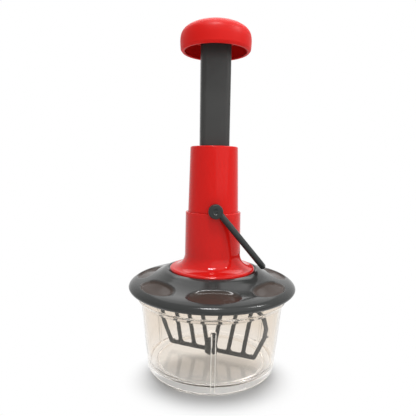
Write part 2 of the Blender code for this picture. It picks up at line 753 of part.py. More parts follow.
def make_bush(unit):
    """The flanged bearing in the lid's boss."""
    corners = [
        (BUSH_FLANGE_RADIUS, BUSH_TOP),
        (BUSH_FLANGE_RADIUS, COLUMN_BOTTOM),
        (BUSH_SLEEVE_RADIUS, COLUMN_BOTTOM),
        (BUSH_SLEEVE_RADIUS, SHAFT_SEAL_BOTTOM + SHAFT_SEAL_THICKNESS + GAP),
        (BUSH_BORE_RADIUS, SHAFT_SEAL_BOTTOM + SHAFT_SEAL_THICKNESS + GAP),
        (BUSH_BORE_RADIUS, BUSH_TOP),
    ]
    part("bearing_bush", turned(corners, SMALL_STEPS, closed=True), "nylon", unit)


def make_lid_screws(unit):
    """Screws from under the lid's seat into the column's posts."""
    head_top = LID_SEAT_UNDERSIDE - GAP
    head_bottom = head_top - SCREW_HEAD_HEIGHT
    tip = POST_TOP - SCREW_TIP_SPACE
    mesh = turned(
        [
            (0.0, tip - head_bottom),
            (SCREW_SHANK_RADIUS, tip - head_bottom),
            (SCREW_SHANK_RADIUS, SCREW_HEAD_HEIGHT),
            (SCREW_HEAD_RADIUS, SCREW_HEAD_HEIGHT),
            (SCREW_HEAD_RADIUS, 0.0),
            (0.0, 0.0),
        ],
        SCREW_STEPS,
    )
    for index, (x, y) in enumerate(screw_places()):
        screw = part(f"lid_screw_{index + 1}", mesh, "steel", unit, head_bottom)
        screw.location.x = x
        screw.location.y = y


def make_stem(plunger):
    """A hollow rounded rectangular rod, a little wider at its top."""
    x, y = STEM_WIDTH / 2, STEM_DEPTH / 2
    outer = [(x, y, STEM_CORNER), (-x, y, STEM_CORNER), (-x, -y, STEM_CORNER), (x, -y, STEM_CORNER)]
    inner_corner = STEM_CORNER - STEM_WALL
    inner = [
        (math.copysign(abs(px) - STEM_WALL, px), math.copysign(abs(py) - STEM_WALL, py), inner_corner)
        for px, py, radius in outer
    ]
    mesh = slab([rounded(outer), rounded(inner)], 0.0, STEM_LENGTH)
    for vertex in mesh.vertices:
        vertex.co.x *= 1 + STEM_TAPER_share * vertex.co.z / STEM_LENGTH
    part("stem", mesh, "stem_plastic", plunger, STEM_BOTTOM)


def make_foot(plunger):
    """The disc that guides the stem in the column and holds the nut, with a plug up into the stem."""
    radius = COLUMN_BORE_RADIUS - RUN
    corners = [(0.0, FOOT_THICKNESS), (radius, FOOT_THICKNESS), (radius, 0.0), (0.0, 0.0)]
    foot = part("stem_foot", turned(corners, SHELL_STEPS), "nylon", plunger, FOOT_BOTTOM)
    inset = STEM_WALL + GAP
    plug_top = FOOT_THICKNESS + FOOT_PLUG_HEIGHT
    plug = rounded_box(
        STEM_WIDTH - 2 * inset, STEM_DEPTH - 2 * inset, STEM_CORNER - inset, FOOT_THICKNESS / 2, plug_top
    )
    join(foot, "foot_plug", plug)
    pocket = disc(NUT_RADIUS + RUN, FOOT_FLOOR, plug_top + OVERRUN, NUT_SIDES)
    cut(foot, "nut_pocket", pocket)
    passage = math.hypot(TWIST_WIDTH, TWIST_THICKNESS) / 2 + RUN
    cut(foot, "spindle_passage", disc(passage, -OVERRUN, FOOT_FLOOR + OVERRUN, SMALL_STEPS))


def make_nut(plunger):
    """A six-sided nut whose slot follows the spindle's twist."""
    nut = part("drive_nut", disc(NUT_RADIUS, NUT_BOTTOM, NUT_TOP, NUT_SIDES), "nylon", plunger)
    slot = twisted_bar(
        TWIST_WIDTH + 2 * RUN, TWIST_THICKNESS + 2 * RUN, NUT_BOTTOM - OVERRUN, NUT_TOP + OVERRUN
    )
    cut(nut, "nut_slot", slot)


def make_plug(plunger):
    """The block in the stem that the spring pushes up and the knob's screw clamps."""
    inset = STEM_WALL + GAP
    mesh = rounded_box(
        STEM_WIDTH - 2 * inset, STEM_DEPTH - 2 * inset, STEM_CORNER - inset, 0.0, PLUG_THICKNESS
    )
    plug = part("stem_plug", mesh, "nylon", plunger, PLUG_BOTTOM)
    hole = disc(KNOB_SCREW_RADIUS + GAP, -OVERRUN, PLUG_THICKNESS + OVERRUN, SCREW_STEPS)
    cut(plug, "plug_hole", hole)


def make_knob(plunger):
    """A hollow mushroom cap with a socket for the stem and a post for its screw."""
    corners = [(KNOB_RADIUS * r, KNOB_HEIGHT * z) for r, z in KNOB_PROFILE_shares]
    knob = part("knob", turned(corners, SHELL_STEPS), "red_plastic", plunger, KNOB_BOTTOM)
    shell = knob.modifiers.new("shell", "SOLIDIFY")
    shell.thickness = KNOB_WALL
    shell.offset = -1
    shell.use_even_offset = True
    core_top = KNOB_HEIGHT - KNOB_WALL * KNOB_CORE_SEAT_share
    join(knob, "knob_core", disc(KNOB_CORE_RADIUS, KNOB_CORE_RISE, core_top, SHELL_STEPS))
    width, depth = STEM_TOP_WIDTH + 2 * GAP, STEM_DEPTH + 2 * GAP
    pocket = rounded_box(width, depth, STEM_CORNER, KNOB_CORE_RISE - OVERRUN, KNOB_SOCKET_RISE)
    cut(knob, "knob_socket", pocket)
    post_bottom = PLUG_TOP + GAP - KNOB_BOTTOM
    post_top = KNOB_SOCKET_RISE + KNOB_WALL / 2
    join(knob, "knob_post", disc(KNOB_POST_RADIUS, post_bottom, post_top, SMALL_STEPS))
    low, high = post_bottom - OVERRUN, KNOB_SOCKET_RISE - OVERRUN
    hole = disc(KNOB_SCREW_RADIUS + GAP, low, high, SCREW_STEPS)
    cut(knob, "knob_pilot_hole", hole)


def make_knob_screw(plunger):
    """The screw from under the plug up into the knob's post."""
    head_top = PLUG_BOTTOM - GAP
    head_bottom = head_top - KNOB_SCREW_HEAD_HEIGHT
    tip = KNOB_BOTTOM + KNOB_SOCKET_RISE - 2 * OVERRUN
    mesh = turned(
        [
            (0.0, tip - head_bottom),
            (KNOB_SCREW_RADIUS, tip - head_bottom),
            (KNOB_SCREW_RADIUS, KNOB_SCREW_HEAD_HEIGHT),
            (KNOB_SCREW_HEAD_RADIUS, KNOB_SCREW_HEAD_HEIGHT),
            (KNOB_SCREW_HEAD_RADIUS, 0.0),
            (0.0, 0.0),
        ],
        SCREW_STEPS,
    )
    part("knob_screw", mesh, "steel", plunger, head_bottom)


def make_spring(plunger):
    """A coil between the spindle's cap and the stem's plug, as one unbroken wire."""
    low = CAP_TOP + GAP + SPRING_WIRE_RADIUS
    high = PLUG_BOTTOM - GAP - SPRING_WIRE_RADIUS
    steps = SPRING_TURNS * SPRING_POINTS_PER_TURN
    route = []
    for step in range(steps + 1):
        angle = math.tau * step / SPRING_POINTS_PER_TURN
        height = low + (high - low) * step / steps
        x, y = SPRING_RADIUS * math.cos(angle), SPRING_RADIUS * math.sin(angle)
        route.append(Vector((x, y, height)))
    turn = SPRING_POINTS_PER_TURN
    least = min(
        (route[i] - route[j]).length
        for i in range(len(route))
        for j in range(i + turn // 2, min(i + 2 * turn, len(route)))
    )
    print(f"return_spring: least gap to itself {(least - 2 * SPRING_WIRE_RADIUS) * 1000:.2f} mm")
    part("return_spring", tube(route, SPRING_WIRE_RADIUS, 1), "steel", plunger)


def tube(route, radius, resolution):
    """A round wire along a route."""
    curve = bpy.data.curves.new("wire", "CURVE")
    curve.dimensions = "3D"
    curve.bevel_depth = radius
    curve.bevel_resolution = resolution
    curve.use_fill_caps = True
    spline = curve.splines.new("POLY")
    spline.points.add(len(route) - 1)
    for point, place in zip(spline.points, route):
        point.co = (*place, 1.0)
    obj = bpy.data.objects.new("wire", curve)
    bpy.context.scene.collection.objects.link(obj)
    return outward(baked(obj))


def make_spindle(rotor):
    """The drive shaft: a twisted flat bar over a thrust flange, a grooved journal and a square end."""
    groove = JOURNAL_RADIUS - GROOVE_DEPTH
    corners = [
        (0.0, THRUST_TOP),
        (THRUST_RADIUS, THRUST_TOP),
        (THRUST_RADIUS, THRUST_BOTTOM),
        (JOURNAL_RADIUS, THRUST_BOTTOM),
        (JOURNAL_RADIUS, BOSS_BOTTOM),
        (groove, BOSS_BOTTOM),
        (groove, GROOVE_BOTTOM),
        (JOURNAL_RADIUS, GROOVE_BOTTOM),
        (JOURNAL_RADIUS, JOURNAL_BOTTOM),
        (0.0, JOURNAL_BOTTOM),
    ]
    spindle = part("spindle", turned(corners, SMALL_STEPS), "steel", rotor)
    bar = twisted_bar(TWIST_WIDTH, TWIST_THICKNESS, THRUST_TOP - THRUST_THICKNESS / 2, TWIST_TOP)
    join(spindle, "twisted_bar", bar)
    half = DRIVE_WIDTH / 2
    end = box((-half, -half, DRIVE_BOTTOM), (half, half, JOURNAL_BOTTOM + GROOVE_DEPTH / 2))
    join(spindle, "square_end", end)


def make_spindle_pieces(rotor):
    """The washer under the thrust flange, the spring's seat on top and the clip below the lid."""
    washer = ring(BUSH_BORE_RADIUS, THRUST_RADIUS, 0.0, WASHER_THICKNESS, SMALL_STEPS)
    part("thrust_washer", washer, "steel", rotor, WASHER_BOTTOM)

    cap = part("spindle_cap", disc(CAP_RADIUS, CAP_BOTTOM, CAP_TOP, SMALL_STEPS), "nylon", rotor)
    pocket = twisted_bar(
        TWIST_WIDTH + 2 * GAP, TWIST_THICKNESS + 2 * GAP, CAP_BOTTOM - OVERRUN, TWIST_TOP + GAP
    )
    cut(cap, "cap_pocket", pocket)

    bore = JOURNAL_RADIUS - GROOVE_DEPTH + GAP
    plate = ring(bore, CLIP_RADIUS, 0.0, CLIP_THICKNESS, SMALL_STEPS)
    clip = part("retaining_clip", plate, "steel", rotor, CLIP_BOTTOM)
    low = (0.0, -CLIP_MOUTH / 2, -OVERRUN)
    high = (CLIP_RADIUS + OVERRUN, CLIP_MOUTH / 2, CLIP_THICKNESS + OVERRUN)
    cut(clip, "clip_mouth", box(low, high))


def offset_path(points, distance):
    """A path moved sideways, to its right, with mitred corners."""
    moved = []
    for index, here in enumerate(points):
        runs = []
        if index > 0:
            runs.append((here - points[index - 1]).normalized())
        if index + 1 < len(points):
            runs.append((points[index + 1] - here).normalized())
        sides = [Vector((run.y, -run.x)) for run in runs]
        middle = sum(sides, Vector((0.0, 0.0))).normalized()
        moved.append(here + middle * distance / middle.dot(sides[0]))
    return moved


def whisk_frame():
    """The right half of the whisk's outer bar, from its rail's end to its top corner."""
    return [Vector((WHISK_REACH * s, WHISK_RAIL + WHISK_HEIGHT * z)) for s, z in WHISK_FRAME_shares]


def whisk_bar_at(index, height):
    """How far from the axis a slanted bar's centre line is at a height."""
    foot = WHISK_BAR_FOOT_shares[index]
    head = WHISK_BAR_HEAD_shares[index]
    return WHISK_REACH * (foot + (head - foot) * (height - WHISK_RAIL) / WHISK_HEIGHT)


def whisk_head(index, side):
    """The corner under the arched top rail, on one side of a slanted bar."""
    high = WHISK_RAIL + WHISK_HEIGHT - WHISK_BAR / 2
    x = whisk_bar_at(index, high) + side * WHISK_BAR / 2
    return (x, high - WHISK_HEAD_ARCH * (x / WHISK_REACH) ** 2)


def whisk_foot(x):
    """The corner over the foot rail, which thickens slightly outwards, at a distance from the axis."""
    return (x, WHISK_RAIL + WHISK_BAR / 2 + WHISK_FOOT_ARCH * (x / WHISK_REACH) ** 2)


def whisk_cells():
    """The openings of the right half, between the slanted bars."""
    half = WHISK_BAR / 2
    low = WHISK_RAIL + half
    high = WHISK_RAIL + WHISK_HEIGHT - half
    cells = []
    for index in range(len(WHISK_BAR_FOOT_shares) - 1):
        cells.append(
            [
                whisk_foot(whisk_bar_at(index, low) + half),
                whisk_foot(whisk_bar_at(index + 1, low) - half),
                whisk_head(index + 1, -1),
                whisk_head(index, 1),
            ]
        )
    last = len(WHISK_BAR_FOOT_shares) - 1
    inside = offset_path(whisk_frame(), -half)
    cells.append(
        [whisk_foot(whisk_bar_at(last, low) + half), whisk_foot(inside[0].x - half / 2)]
        + [tuple(point) for point in inside[1:-1]]
        + [(whisk_bar_at(last, high - WHISK_BAR) + half, high - half)]
    )
    return cells


def make_whisk(rotor):
    """A flat paddle of slanted bars, open in the middle, with a foot hub and a square socket."""
    outside = offset_path(whisk_frame(), WHISK_BAR / 2)
    outside[0].y = WHISK_RAIL - WHISK_BAR / 2
    outside[-1].y = WHISK_RAIL + WHISK_HEIGHT + WHISK_BAR / 2
    right = [(point.x, point.y, WHISK_CORNER_ROUND) for point in outside]
    left = [(-x, z, radius) for x, z, radius in reversed(right)]
    outlines = [rounded(right + left, steps=FINE_ROUND_STEPS)]
    for cell in whisk_cells():
        right_cell = [(x, z, WHISK_CORNER_ROUND) for x, z in cell]
        left_cell = [(-x, z, radius) for x, z, radius in reversed(right_cell)]
        outlines.append(rounded(right_cell, steps=FINE_ROUND_STEPS))
        outlines.append(rounded(left_cell, steps=FINE_ROUND_STEPS))
    half = WHISK_BAR / 2
    low = WHISK_RAIL + WHISK_HEIGHT * WHISK_OPENING_LOW_share
    high = WHISK_RAIL + WHISK_HEIGHT * WHISK_OPENING_HIGH_share
    low_x = whisk_bar_at(0, low) - half
    high_x = whisk_bar_at(0, high) - half
    top = [(high_x, high, WHISK_CORNER_ROUND), (-high_x, high, WHISK_CORNER_ROUND)]
    outlines.append(rounded([(low_x, low)] + top + [(-low_x, low)], steps=FINE_ROUND_STEPS))
    plate = slab(outlines, -WHISK_THICKNESS / 2, WHISK_THICKNESS / 2)
    plate.transform(Matrix.Rotation(math.pi / 2, 4, "X"))
    whisk = part("whisk", plate, "black_plastic", rotor)
    whisk.rotation_euler.z = WHISK_TURN

    hub_top = WHISK_BOTTOM + WHISK_HUB_HEIGHT
    join(whisk, "foot_hub", disc(WHISK_HUB_RADIUS, WHISK_BOTTOM, hub_top, SMALL_STEPS))
    socket_bottom = WHISK_RAIL + WHISK_HEIGHT * WHISK_SOCKET_START_share
    join(whisk, "socket_hub", disc(WHISK_SOCKET_RADIUS, socket_bottom, WHISK_TOP, SMALL_STEPS))
    side = DRIVE_WIDTH / 2 + GAP
    square = box((-side, -side, DRIVE_BOTTOM - GAP), (side, side, WHISK_TOP + OVERRUN))
    square.transform(Matrix.Rotation(-WHISK_TURN, 4, "Z"))
    cut(whisk, "drive_socket", square)
    nib = box(
        (-WHISK_NIB_LENGTH / 2, -WHISK_THICKNESS / 4, -WHISK_NIB_WIDTH / 2),
        (WHISK_NIB_LENGTH / 2, WHISK_THICKNESS / 4, WHISK_NIB_WIDTH / 2),
    )
    reach, rise = WHISK_NIB_share
    place = Matrix.Translation((WHISK_REACH * reach, 0.0, WHISK_RAIL + WHISK_HEIGHT * rise))
    nib.transform(place @ Matrix.Rotation(-WHISK_NIB_TURN, 4, "Y"))
    join(whisk, "nib", nib)


def make_bail():
    """A U-shaped lever on two pivot discs, lowered against the lid."""
    disc_inner = COLLAR_RADIUS + BAIL_SIDE_GAP
    disc_outer = disc_inner + BAIL_DISC_THICKNESS
    arm = (disc_inner + disc_outer) / 2
    straight = BAIL_LENGTH - BAIL_BEND
    beside = -BAIL_ROD_OFFSET
    route = [Vector((beside, -arm, 0.0)), Vector((beside, -arm, straight / 2))]
    for side in (-1, 1):
        steps = 2 * ROUND_STEPS
        bend = []
        for step in range(steps + 1):
            angle = math.pi / 2 * step / steps
            y = side * (arm - BAIL_BEND + BAIL_BEND * math.cos(angle))
            bend.append(Vector((beside, y, straight + BAIL_BEND * math.sin(angle))))
        route += bend if side < 0 else bend[::-1]
    route += [Vector((beside, arm, straight / 2)), Vector((beside, arm, 0.0))]
    bail = part("bail", tube(route, BAIL_ROD_RADIUS, 2), "black_plastic", None, BAIL_PIVOT)
    bail.rotation_euler.y = BAIL_REST_TURN
    stub_end = COLUMN_BORE_RADIUS + BAIL_STUB_SEAT
    for side, name in ((-1, "front_pivot"), (1, "rear_pivot")):
        pivot = turned(
            [
                (0.0, disc_outer),
                (BAIL_DISC_RADIUS, disc_outer, BAIL_DISC_ROUND),
                (BAIL_DISC_RADIUS, disc_inner),
                (BAIL_STUB_RADIUS, disc_inner),
                (BAIL_STUB_RADIUS, stub_end),
                (0.0, stub_end),
            ],
            SMALL_STEPS,
        )
        pivot.transform(Matrix.Rotation(-side * math.pi / 2, 4, "X"))
        join(bail, name, pivot)
    return bail


def main():
    clear_scene()
    make_bowl()
    lid_unit = body("lid_unit")
    make_lid(lid_unit)
    make_seals(lid_unit)
    make_collar(lid_unit)
    make_column(lid_unit)
    make_bush(lid_unit)
    make_lid_screws(lid_unit)
    plunger = body("plunger")
    plunger.parent = lid_unit
    make_stem(plunger)
    make_foot(plunger)
    make_nut(plunger)
    make_plug(plunger)
    make_knob(plunger)
    make_knob_screw(plunger)
    make_spring(plunger)
    rotor = body("rotor")
    rotor.parent = lid_unit
    make_spindle(rotor)
    make_spindle_pieces(rotor)
    make_whisk(rotor)
    bail = make_bail()
    bail.parent = lid_unit


main()
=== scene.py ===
"""Looks of a push-down food chopper, built around its CAD frame.

Each visible piece is a surface worked out as arrays: a profile turned round the
column's axis, or an outline carried along a path. Lengths are in metres, +Z is
up, the column stands on the Z axis and the bowl's foot is at z = 0.
"""

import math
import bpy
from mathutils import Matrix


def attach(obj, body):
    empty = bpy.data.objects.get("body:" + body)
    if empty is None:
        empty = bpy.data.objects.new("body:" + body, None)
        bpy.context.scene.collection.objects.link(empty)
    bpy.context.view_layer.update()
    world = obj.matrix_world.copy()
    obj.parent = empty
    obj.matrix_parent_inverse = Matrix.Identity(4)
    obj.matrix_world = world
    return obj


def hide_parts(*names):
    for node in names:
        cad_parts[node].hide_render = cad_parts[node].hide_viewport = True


bl_info = {
    "name": "Plunger food chopper",
    "version": (1, 0, 0),
    "blender": (4, 5, 0),
    "location": "3D View > Sidebar > Chopper",
    "description": "Builds the visible surfaces and finishes of a push-down food chopper",
    "category": "Add Mesh",
}

import bmesh
import bpy
import numpy as np
from bpy.props import FloatProperty, FloatVectorProperty, IntProperty, PointerProperty
from mathutils import Matrix

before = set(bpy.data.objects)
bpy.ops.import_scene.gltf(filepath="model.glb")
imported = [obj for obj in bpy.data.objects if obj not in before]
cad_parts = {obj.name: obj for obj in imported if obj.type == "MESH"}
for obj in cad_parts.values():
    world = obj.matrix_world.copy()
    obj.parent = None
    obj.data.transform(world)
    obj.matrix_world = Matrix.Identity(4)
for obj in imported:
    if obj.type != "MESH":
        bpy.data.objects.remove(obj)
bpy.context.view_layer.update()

# Photograph's frame
IMAGE_WIDTH = 416
SENSOR_WIDTH = 36.0

# Meshing
ROUND_COLUMNS = 192
LID_COLUMNS = 288
BOWL_COLUMNS = 240
ARC_STEPS = 6
FINE_SPACING = 0.0012
MERGE = 1e-6
SHARP_ANGLE = math.radians(50)

# Heights that the pieces share
BOWL_FLOOR = 0.0085
LID_SEAT = 0.1005
FLANGE_BOTTOM = 0.1008
LEDGE = 0.1606
COLUMN_TOP = 0.2259
PIVOT = 0.1636
STEM_BOTTOM = 0.1929
STEM_TOP = 0.3344
KNOB_BOTTOM = 0.3172


def length(name, description, default):
    return FloatProperty(name=name, description=description, default=default, unit="LENGTH", precision=4)


def angle(name, description, default):
    return FloatProperty(name=name, description=description, default=default, subtype="ANGLE")


def colour(name, description, default):
    return FloatVectorProperty(
        name=name, description=description, default=default, subtype="COLOR", size=3, min=0.0, max=1.0
    )


class BowlSettings(bpy.types.PropertyGroup):
    height: length("Height", "From the worktop to the rim", 0.083)
    band_radius: length("Band radius", "Outer radius of the upright band under the rim", 0.0764)
    band_bottom: length("Band bottom", "Height of the band's lower edge", 0.0738)
    shoulder: length("Shoulder", "Height where the step meets the tapered wall", 0.0699)
    shoulder_radius: length("Shoulder radius", "Outer radius of the tapered wall's top", 0.0725)
    base_radius: length("Base radius", "Outer radius of the wall at the worktop", 0.0654)
    wall: length("Wall", "Thickness of the wall", 0.0024)
    rib_height: length("Rib height", "Height of the three upright ribs", 0.061)
    tint: colour("Tint", "Colour of the clear plastic", (0.885, 0.825, 0.755))
    # Painted light: the clear plastic is tinted paler near the worktop, standing in for the bright worktop seen through
    # the bowl's foot.
    painted_foot_light_tint: colour("Floor tint", "Colour of the clear plastic near the worktop", (0.96, 0.945, 0.925))


class LidSettings(bpy.types.PropertyGroup):
    hem: length("Hem", "Height of the lid's lower edge", 0.0816)
    rise: length("Rise", "From the hem to the ridge round the collar", 0.0205)
    width: length("Width", "From the collar's seat out to the widest point", 0.0409)
    seat_radius: length("Seat radius", "Radius of the recess for the collar's flange", 0.0441)
    wall: length("Wall", "Thickness of the shell", 0.0026)
    petal_depth: length("Petal depth", "How far each petal is sunk", 0.0021)
    petal_place: FloatProperty(name="Petal place", description="Middle of each petal, as a share of the width", default=0.605)
    petal_reach: FloatProperty(name="Petal reach", description="Half of each petal's depth, as a share of the width", default=0.26)
    petal_half: angle("Petal half angle", "Half of the angle that each petal takes", math.radians(20.5))
    petal_square: FloatProperty(name="Petal squareness", description="2 is an ellipse, more is squarer", default=2.4)
    petal_edge: FloatProperty(name="Petal edge", description="Share of each petal taken by its slope", default=0.24)
    petal_turn: angle("Petal turn", "Where the first petal stands", math.radians(-92.7))
    petal_count: IntProperty(name="Petals", description="Number of sunk petals", default=7, min=3, max=12)
    # Painted reflection: a warm tint in the petals' floors stands for the red collar reflected in them.
    petal_painted_reflection: colour("Petal tint", "Tint of the petals' floors", (1.55, 1.08, 0.92))
    tone: colour("Tone", "Colour of the glossy lid", (0.036, 0.0375, 0.0365))


class ColumnSettings(bpy.types.PropertyGroup):
    radius: length("Radius", "Outer radius at the ledge", 0.0255)
    top_radius: length("Top radius", "Outer radius at the mouth", 0.0239)
    bore_radius: length("Bore radius", "Inner radius", 0.0216)
    collar_wall: length("Collar wall", "Thickness of the collar's sleeve", 0.0026)
    flare_radius: length("Flare radius", "Radius of the curve into the flange", 0.0133)
    flange_radius: length("Flange radius", "Outer radius of the flange", 0.0435)
    red: colour("Red", "Colour of the column, collar and knob", (0.6, 0.0095, 0.007))


class PlungerSettings(bpy.types.PropertyGroup):
    stem_width: length("Stem width", "Across the flat front", 0.0288)
    stem_depth: length("Stem depth", "From front to back", 0.026)
    stem_corner: length("Stem corner", "Radius of the stem's corners", 0.0055)
    knob_radius: length("Knob radius", "Outer radius of the knob", 0.0348)
    knob_height: length("Knob height", "From its rim to its top", 0.0281)
    knob_wall: length("Knob wall", "Thickness of the knob's shell", 0.003)
    tone: colour("Tone", "Colour of the stem", (0.033, 0.0328, 0.0315))


class WhiskSettings(bpy.types.PropertyGroup):
    reach: length("Reach", "From the axis to the middle of the outer bar", 0.0587)
    height: length("Height", "Between the middles of the two rails", 0.0516)
    rail: length("Rail", "Height of the lower rail's middle", 0.0144)
    bar: length("Bar", "Width of each bar", 0.004)
    corner: length("Corner", "Radius of the openings' corners", 0.0022)
    thickness: length("Thickness", "Thickness of the paddle", 0.0028)
    turn: angle("Turn", "Where the paddle stands", math.radians(-26.5))
    tone: colour("Tone", "Colour of the whisk", (0.026, 0.028, 0.023))


class BailSettings(bpy.types.PropertyGroup):
    arm: length("Arm", "From the pivot to the crossbar", 0.072)
    side: length("Side", "From the axis to the middle of each arm", 0.0318)
    rod_radius: length("Rod radius", "Radius of the rod", 0.0031)
    offset: length("Offset", "How far the arms run beside the pivot's centre", 0.0016)
    disc: length("Disc thickness", "Thickness of the pivot discs", 0.0064)
    bend: length("Bend", "Radius of the two corners", 0.009)
    disc_radius: length("Disc radius", "Radius of the pivot discs", 0.007)
    lean: angle("Lean", "Turned down from upright", math.radians(140))
    tone: colour("Tone", "Colour of the bail", (0.022, 0.025, 0.0245))


class StageSettings(bpy.types.PropertyGroup):
    focal: FloatProperty(name="Focal length", description="In pixels of the photograph", default=400.0)
    distance: length("Distance", "From the camera to the column's axis", 0.4063)
    camera_height: length("Camera height", "Above the worktop", 0.2058)
    azimuth: angle("Azimuth", "Round the column, from the front", math.radians(-4.5))
    pitch: angle("Pitch", "Camera turned down", math.radians(5.9))
    yaw: angle("Yaw", "Camera turned left of the axis", math.radians(0.745))
    roll: angle("Roll", "Camera rolled", math.radians(0.89))
    sky: FloatProperty(name="Sky", description="Strength of the light from all round", default=0.42)
    # Painted shade: the worktop's paper is darker near the bowl than the far paper, deepening the bowl's shadow on it.
    paper: colour("Paper", "Colour of the worktop", (0.36, 0.36, 0.36))
    far_paper: colour("Far paper", "Colour of the worktop away from the bowl", (0.72, 0.72, 0.72))
    # The same distances fade the painted shade of the dark paper near the bowl into the far paper.
    fade_start: length("Fade start", "Distance at which the worktop starts to turn into the white backdrop", 0.034)
    fade_end: length("Fade end", "Distance at which only the white backdrop is left", 0.07)
    # Painted light: a white glow on the worktop under the clear bowl, seen only through the plastic, lifts the shade
    # there.
    under_glow: FloatProperty(name="Under glow", description="White seen under the clear bowl, from 0 to 1", default=0.45)


class ChopperSettings(bpy.types.PropertyGroup):
    bowl: PointerProperty(type=BowlSettings)
    lid: PointerProperty(type=LidSettings)
    column: PointerProperty(type=ColumnSettings)
    plunger: PointerProperty(type=PlungerSettings)
    whisk: PointerProperty(type=WhiskSettings)
    bail: PointerProperty(type=BailSettings)
    stage: PointerProperty(type=StageSettings)


def unit(vectors):
    """Each vector divided by its length."""
    return vectors / np.maximum(np.linalg.norm(vectors, axis=-1, keepdims=True), 1e-12)


def filleted(corners, steps=ARC_STEPS, closed=False):
    """Corners (x, y, radius) with arcs: each centre is on the corner's bisector, radius / sin(half angle) away."""
    table = np.array([tuple(c) + (0.0,) * (3 - len(c)) for c in corners], float)
    here, radius = table[:, :2], table[:, 2]
    back, ahead = np.roll(here, 1, 0) - here, np.roll(here, -1, 0) - here
    room = 0.49 * np.minimum(np.linalg.norm(back, axis=1), np.linalg.norm(ahead, axis=1))
    back, ahead = unit(back), unit(ahead)
    half = np.arccos(np.clip((back * ahead).sum(1), -1, 1)) / 2
    reach = np.minimum(radius / np.tan(half), room)
    radius = reach * np.tan(half)
    centre = here + unit(back + ahead) * (radius / np.sin(half))[:, None]
    first, last = here + back * reach[:, None] - centre, here + ahead * reach[:, None] - centre
    start = np.arctan2(first[:, 1], first[:, 0])
    sweep = (np.arctan2(last[:, 1], last[:, 0]) - start + np.pi) % (2 * np.pi) - np.pi
    turn = start[:, None] + sweep[:, None] * np.linspace(0, 1, steps + 1)
    arcs = centre[:, None] + radius[:, None, None] * np.stack([np.cos(turn), np.sin(turn)], -1)
    open_end = [not closed and i in (0, len(here) - 1) for i in range(len(here))]
    return np.concatenate(
        [here[i : i + 1] if radius[i] < MERGE or open_end[i] else arcs[i] for i in range(len(here))]
    )


def dense(points, spacing=FINE_SPACING, closed=False):
    """A path with points added on straight stretches, so that no stretch is longer than the spacing."""
    ends = np.concatenate([points[1:], points[:1]]) if closed else points[1:]
    starts = points if closed else points[:-1]
    counts = np.maximum(1, np.ceil(np.linalg.norm(ends - starts, axis=1) / spacing).astype(int))
    runs = [a + (b - a) * np.linspace(0, 1, n, endpoint=False)[:, None] for a, b, n in zip(starts, ends, counts)]
    return np.concatenate(runs if closed else runs + [points[-1:]])


def flowing(points, count):
    """A smooth path through points: cubic pieces whose slopes at each point are those of the chord round it."""
    points = np.asarray(points, float)
    along = np.concatenate([[0], np.cumsum(np.linalg.norm(np.diff(points, axis=0), axis=1))])
    slope = np.gradient(points, along, axis=0)
    t = np.linspace(0, along[-1], count)
    i = np.clip(np.searchsorted(along, t, side="right") - 1, 0, len(points) - 2)
    span = (along[i + 1] - along[i])[:, None]
    u = (t - along[i])[:, None] / span
    keep, pull = 2 * u**3 - 3 * u**2 + 1, u**3 - 2 * u**2 + u
    return (
        keep * points[i] + pull * span * slope[i] + (1 - keep) * points[i + 1] + (u**3 - u**2) * span * slope[i + 1]
    )


def beside(path, distance):
    """A path moved sideways, to its right, by the distance along its normals."""
    run = unit(np.gradient(path, axis=0))
    return path + distance * np.stack([run[:, 1], -run[:, 0]], -1)


def eased(x):
    """From 0 to 1 as x goes from 0 to 1, level at both ends: 3x squared minus 2x cubed."""
    x = np.clip(x, 0, 1)
    return x * x * (3 - 2 * x)


def turned(profile, columns, change=None):
    """A profile of (radius, height) turned round Z: x = r cos(a), y = r sin(a), after an optional change of r and z."""
    turn = np.linspace(0, 2 * np.pi, columns, endpoint=False)[None, :]
    radius, height = profile[:, :1] + 0 * turn, profile[:, 1:2] + 0 * turn
    if change:
        radius, height = change(radius, height, turn)
    return np.stack([radius * np.cos(turn), radius * np.sin(turn), height], -1)


def carried(path, outline, up):
    """An outline (side, up) carried along a path: side is the path's direction crossed with up, at each point."""
    run = unit(np.gradient(path, axis=0))
    side = unit(np.cross(run, up))
    rise = np.cross(side, run)
    return path[:, None] + outline[None, :, :1] * side[:, None] + outline[None, :, 1:] * rise[:, None]


def end_capped(grid):
    """A tube closed by its end rings drawn together to their middles."""
    first, last = grid[:1].mean(1, keepdims=True), grid[-1:].mean(1, keepdims=True)
    return np.concatenate([first + 0 * grid[:1], grid, last + 0 * grid[:1]])


def ringed(grid):
    """A tube whose ends are joined to each other."""
    return np.concatenate([grid, grid[:1]])


def box_radius(turn, half_x, half_y, corner):
    """Distance to a rounded rectangle's edge at an angle: the flat side met, or the corner's circle met."""
    c, s = np.abs(np.cos(turn)), np.abs(np.sin(turn))
    along_x, along_y = half_x / np.maximum(c, 1e-9), half_y / np.maximum(s, 1e-9)
    dot = (half_x - corner) * c + (half_y - corner) * s
    inside = (half_x - corner) ** 2 + (half_y - corner) ** 2 - corner**2
    arc = dot + np.sqrt(np.maximum(dot**2 - inside, 0))
    return np.where(along_x * s <= half_y - corner, along_x, np.where(along_y * c <= half_x - corner, along_y, arc))


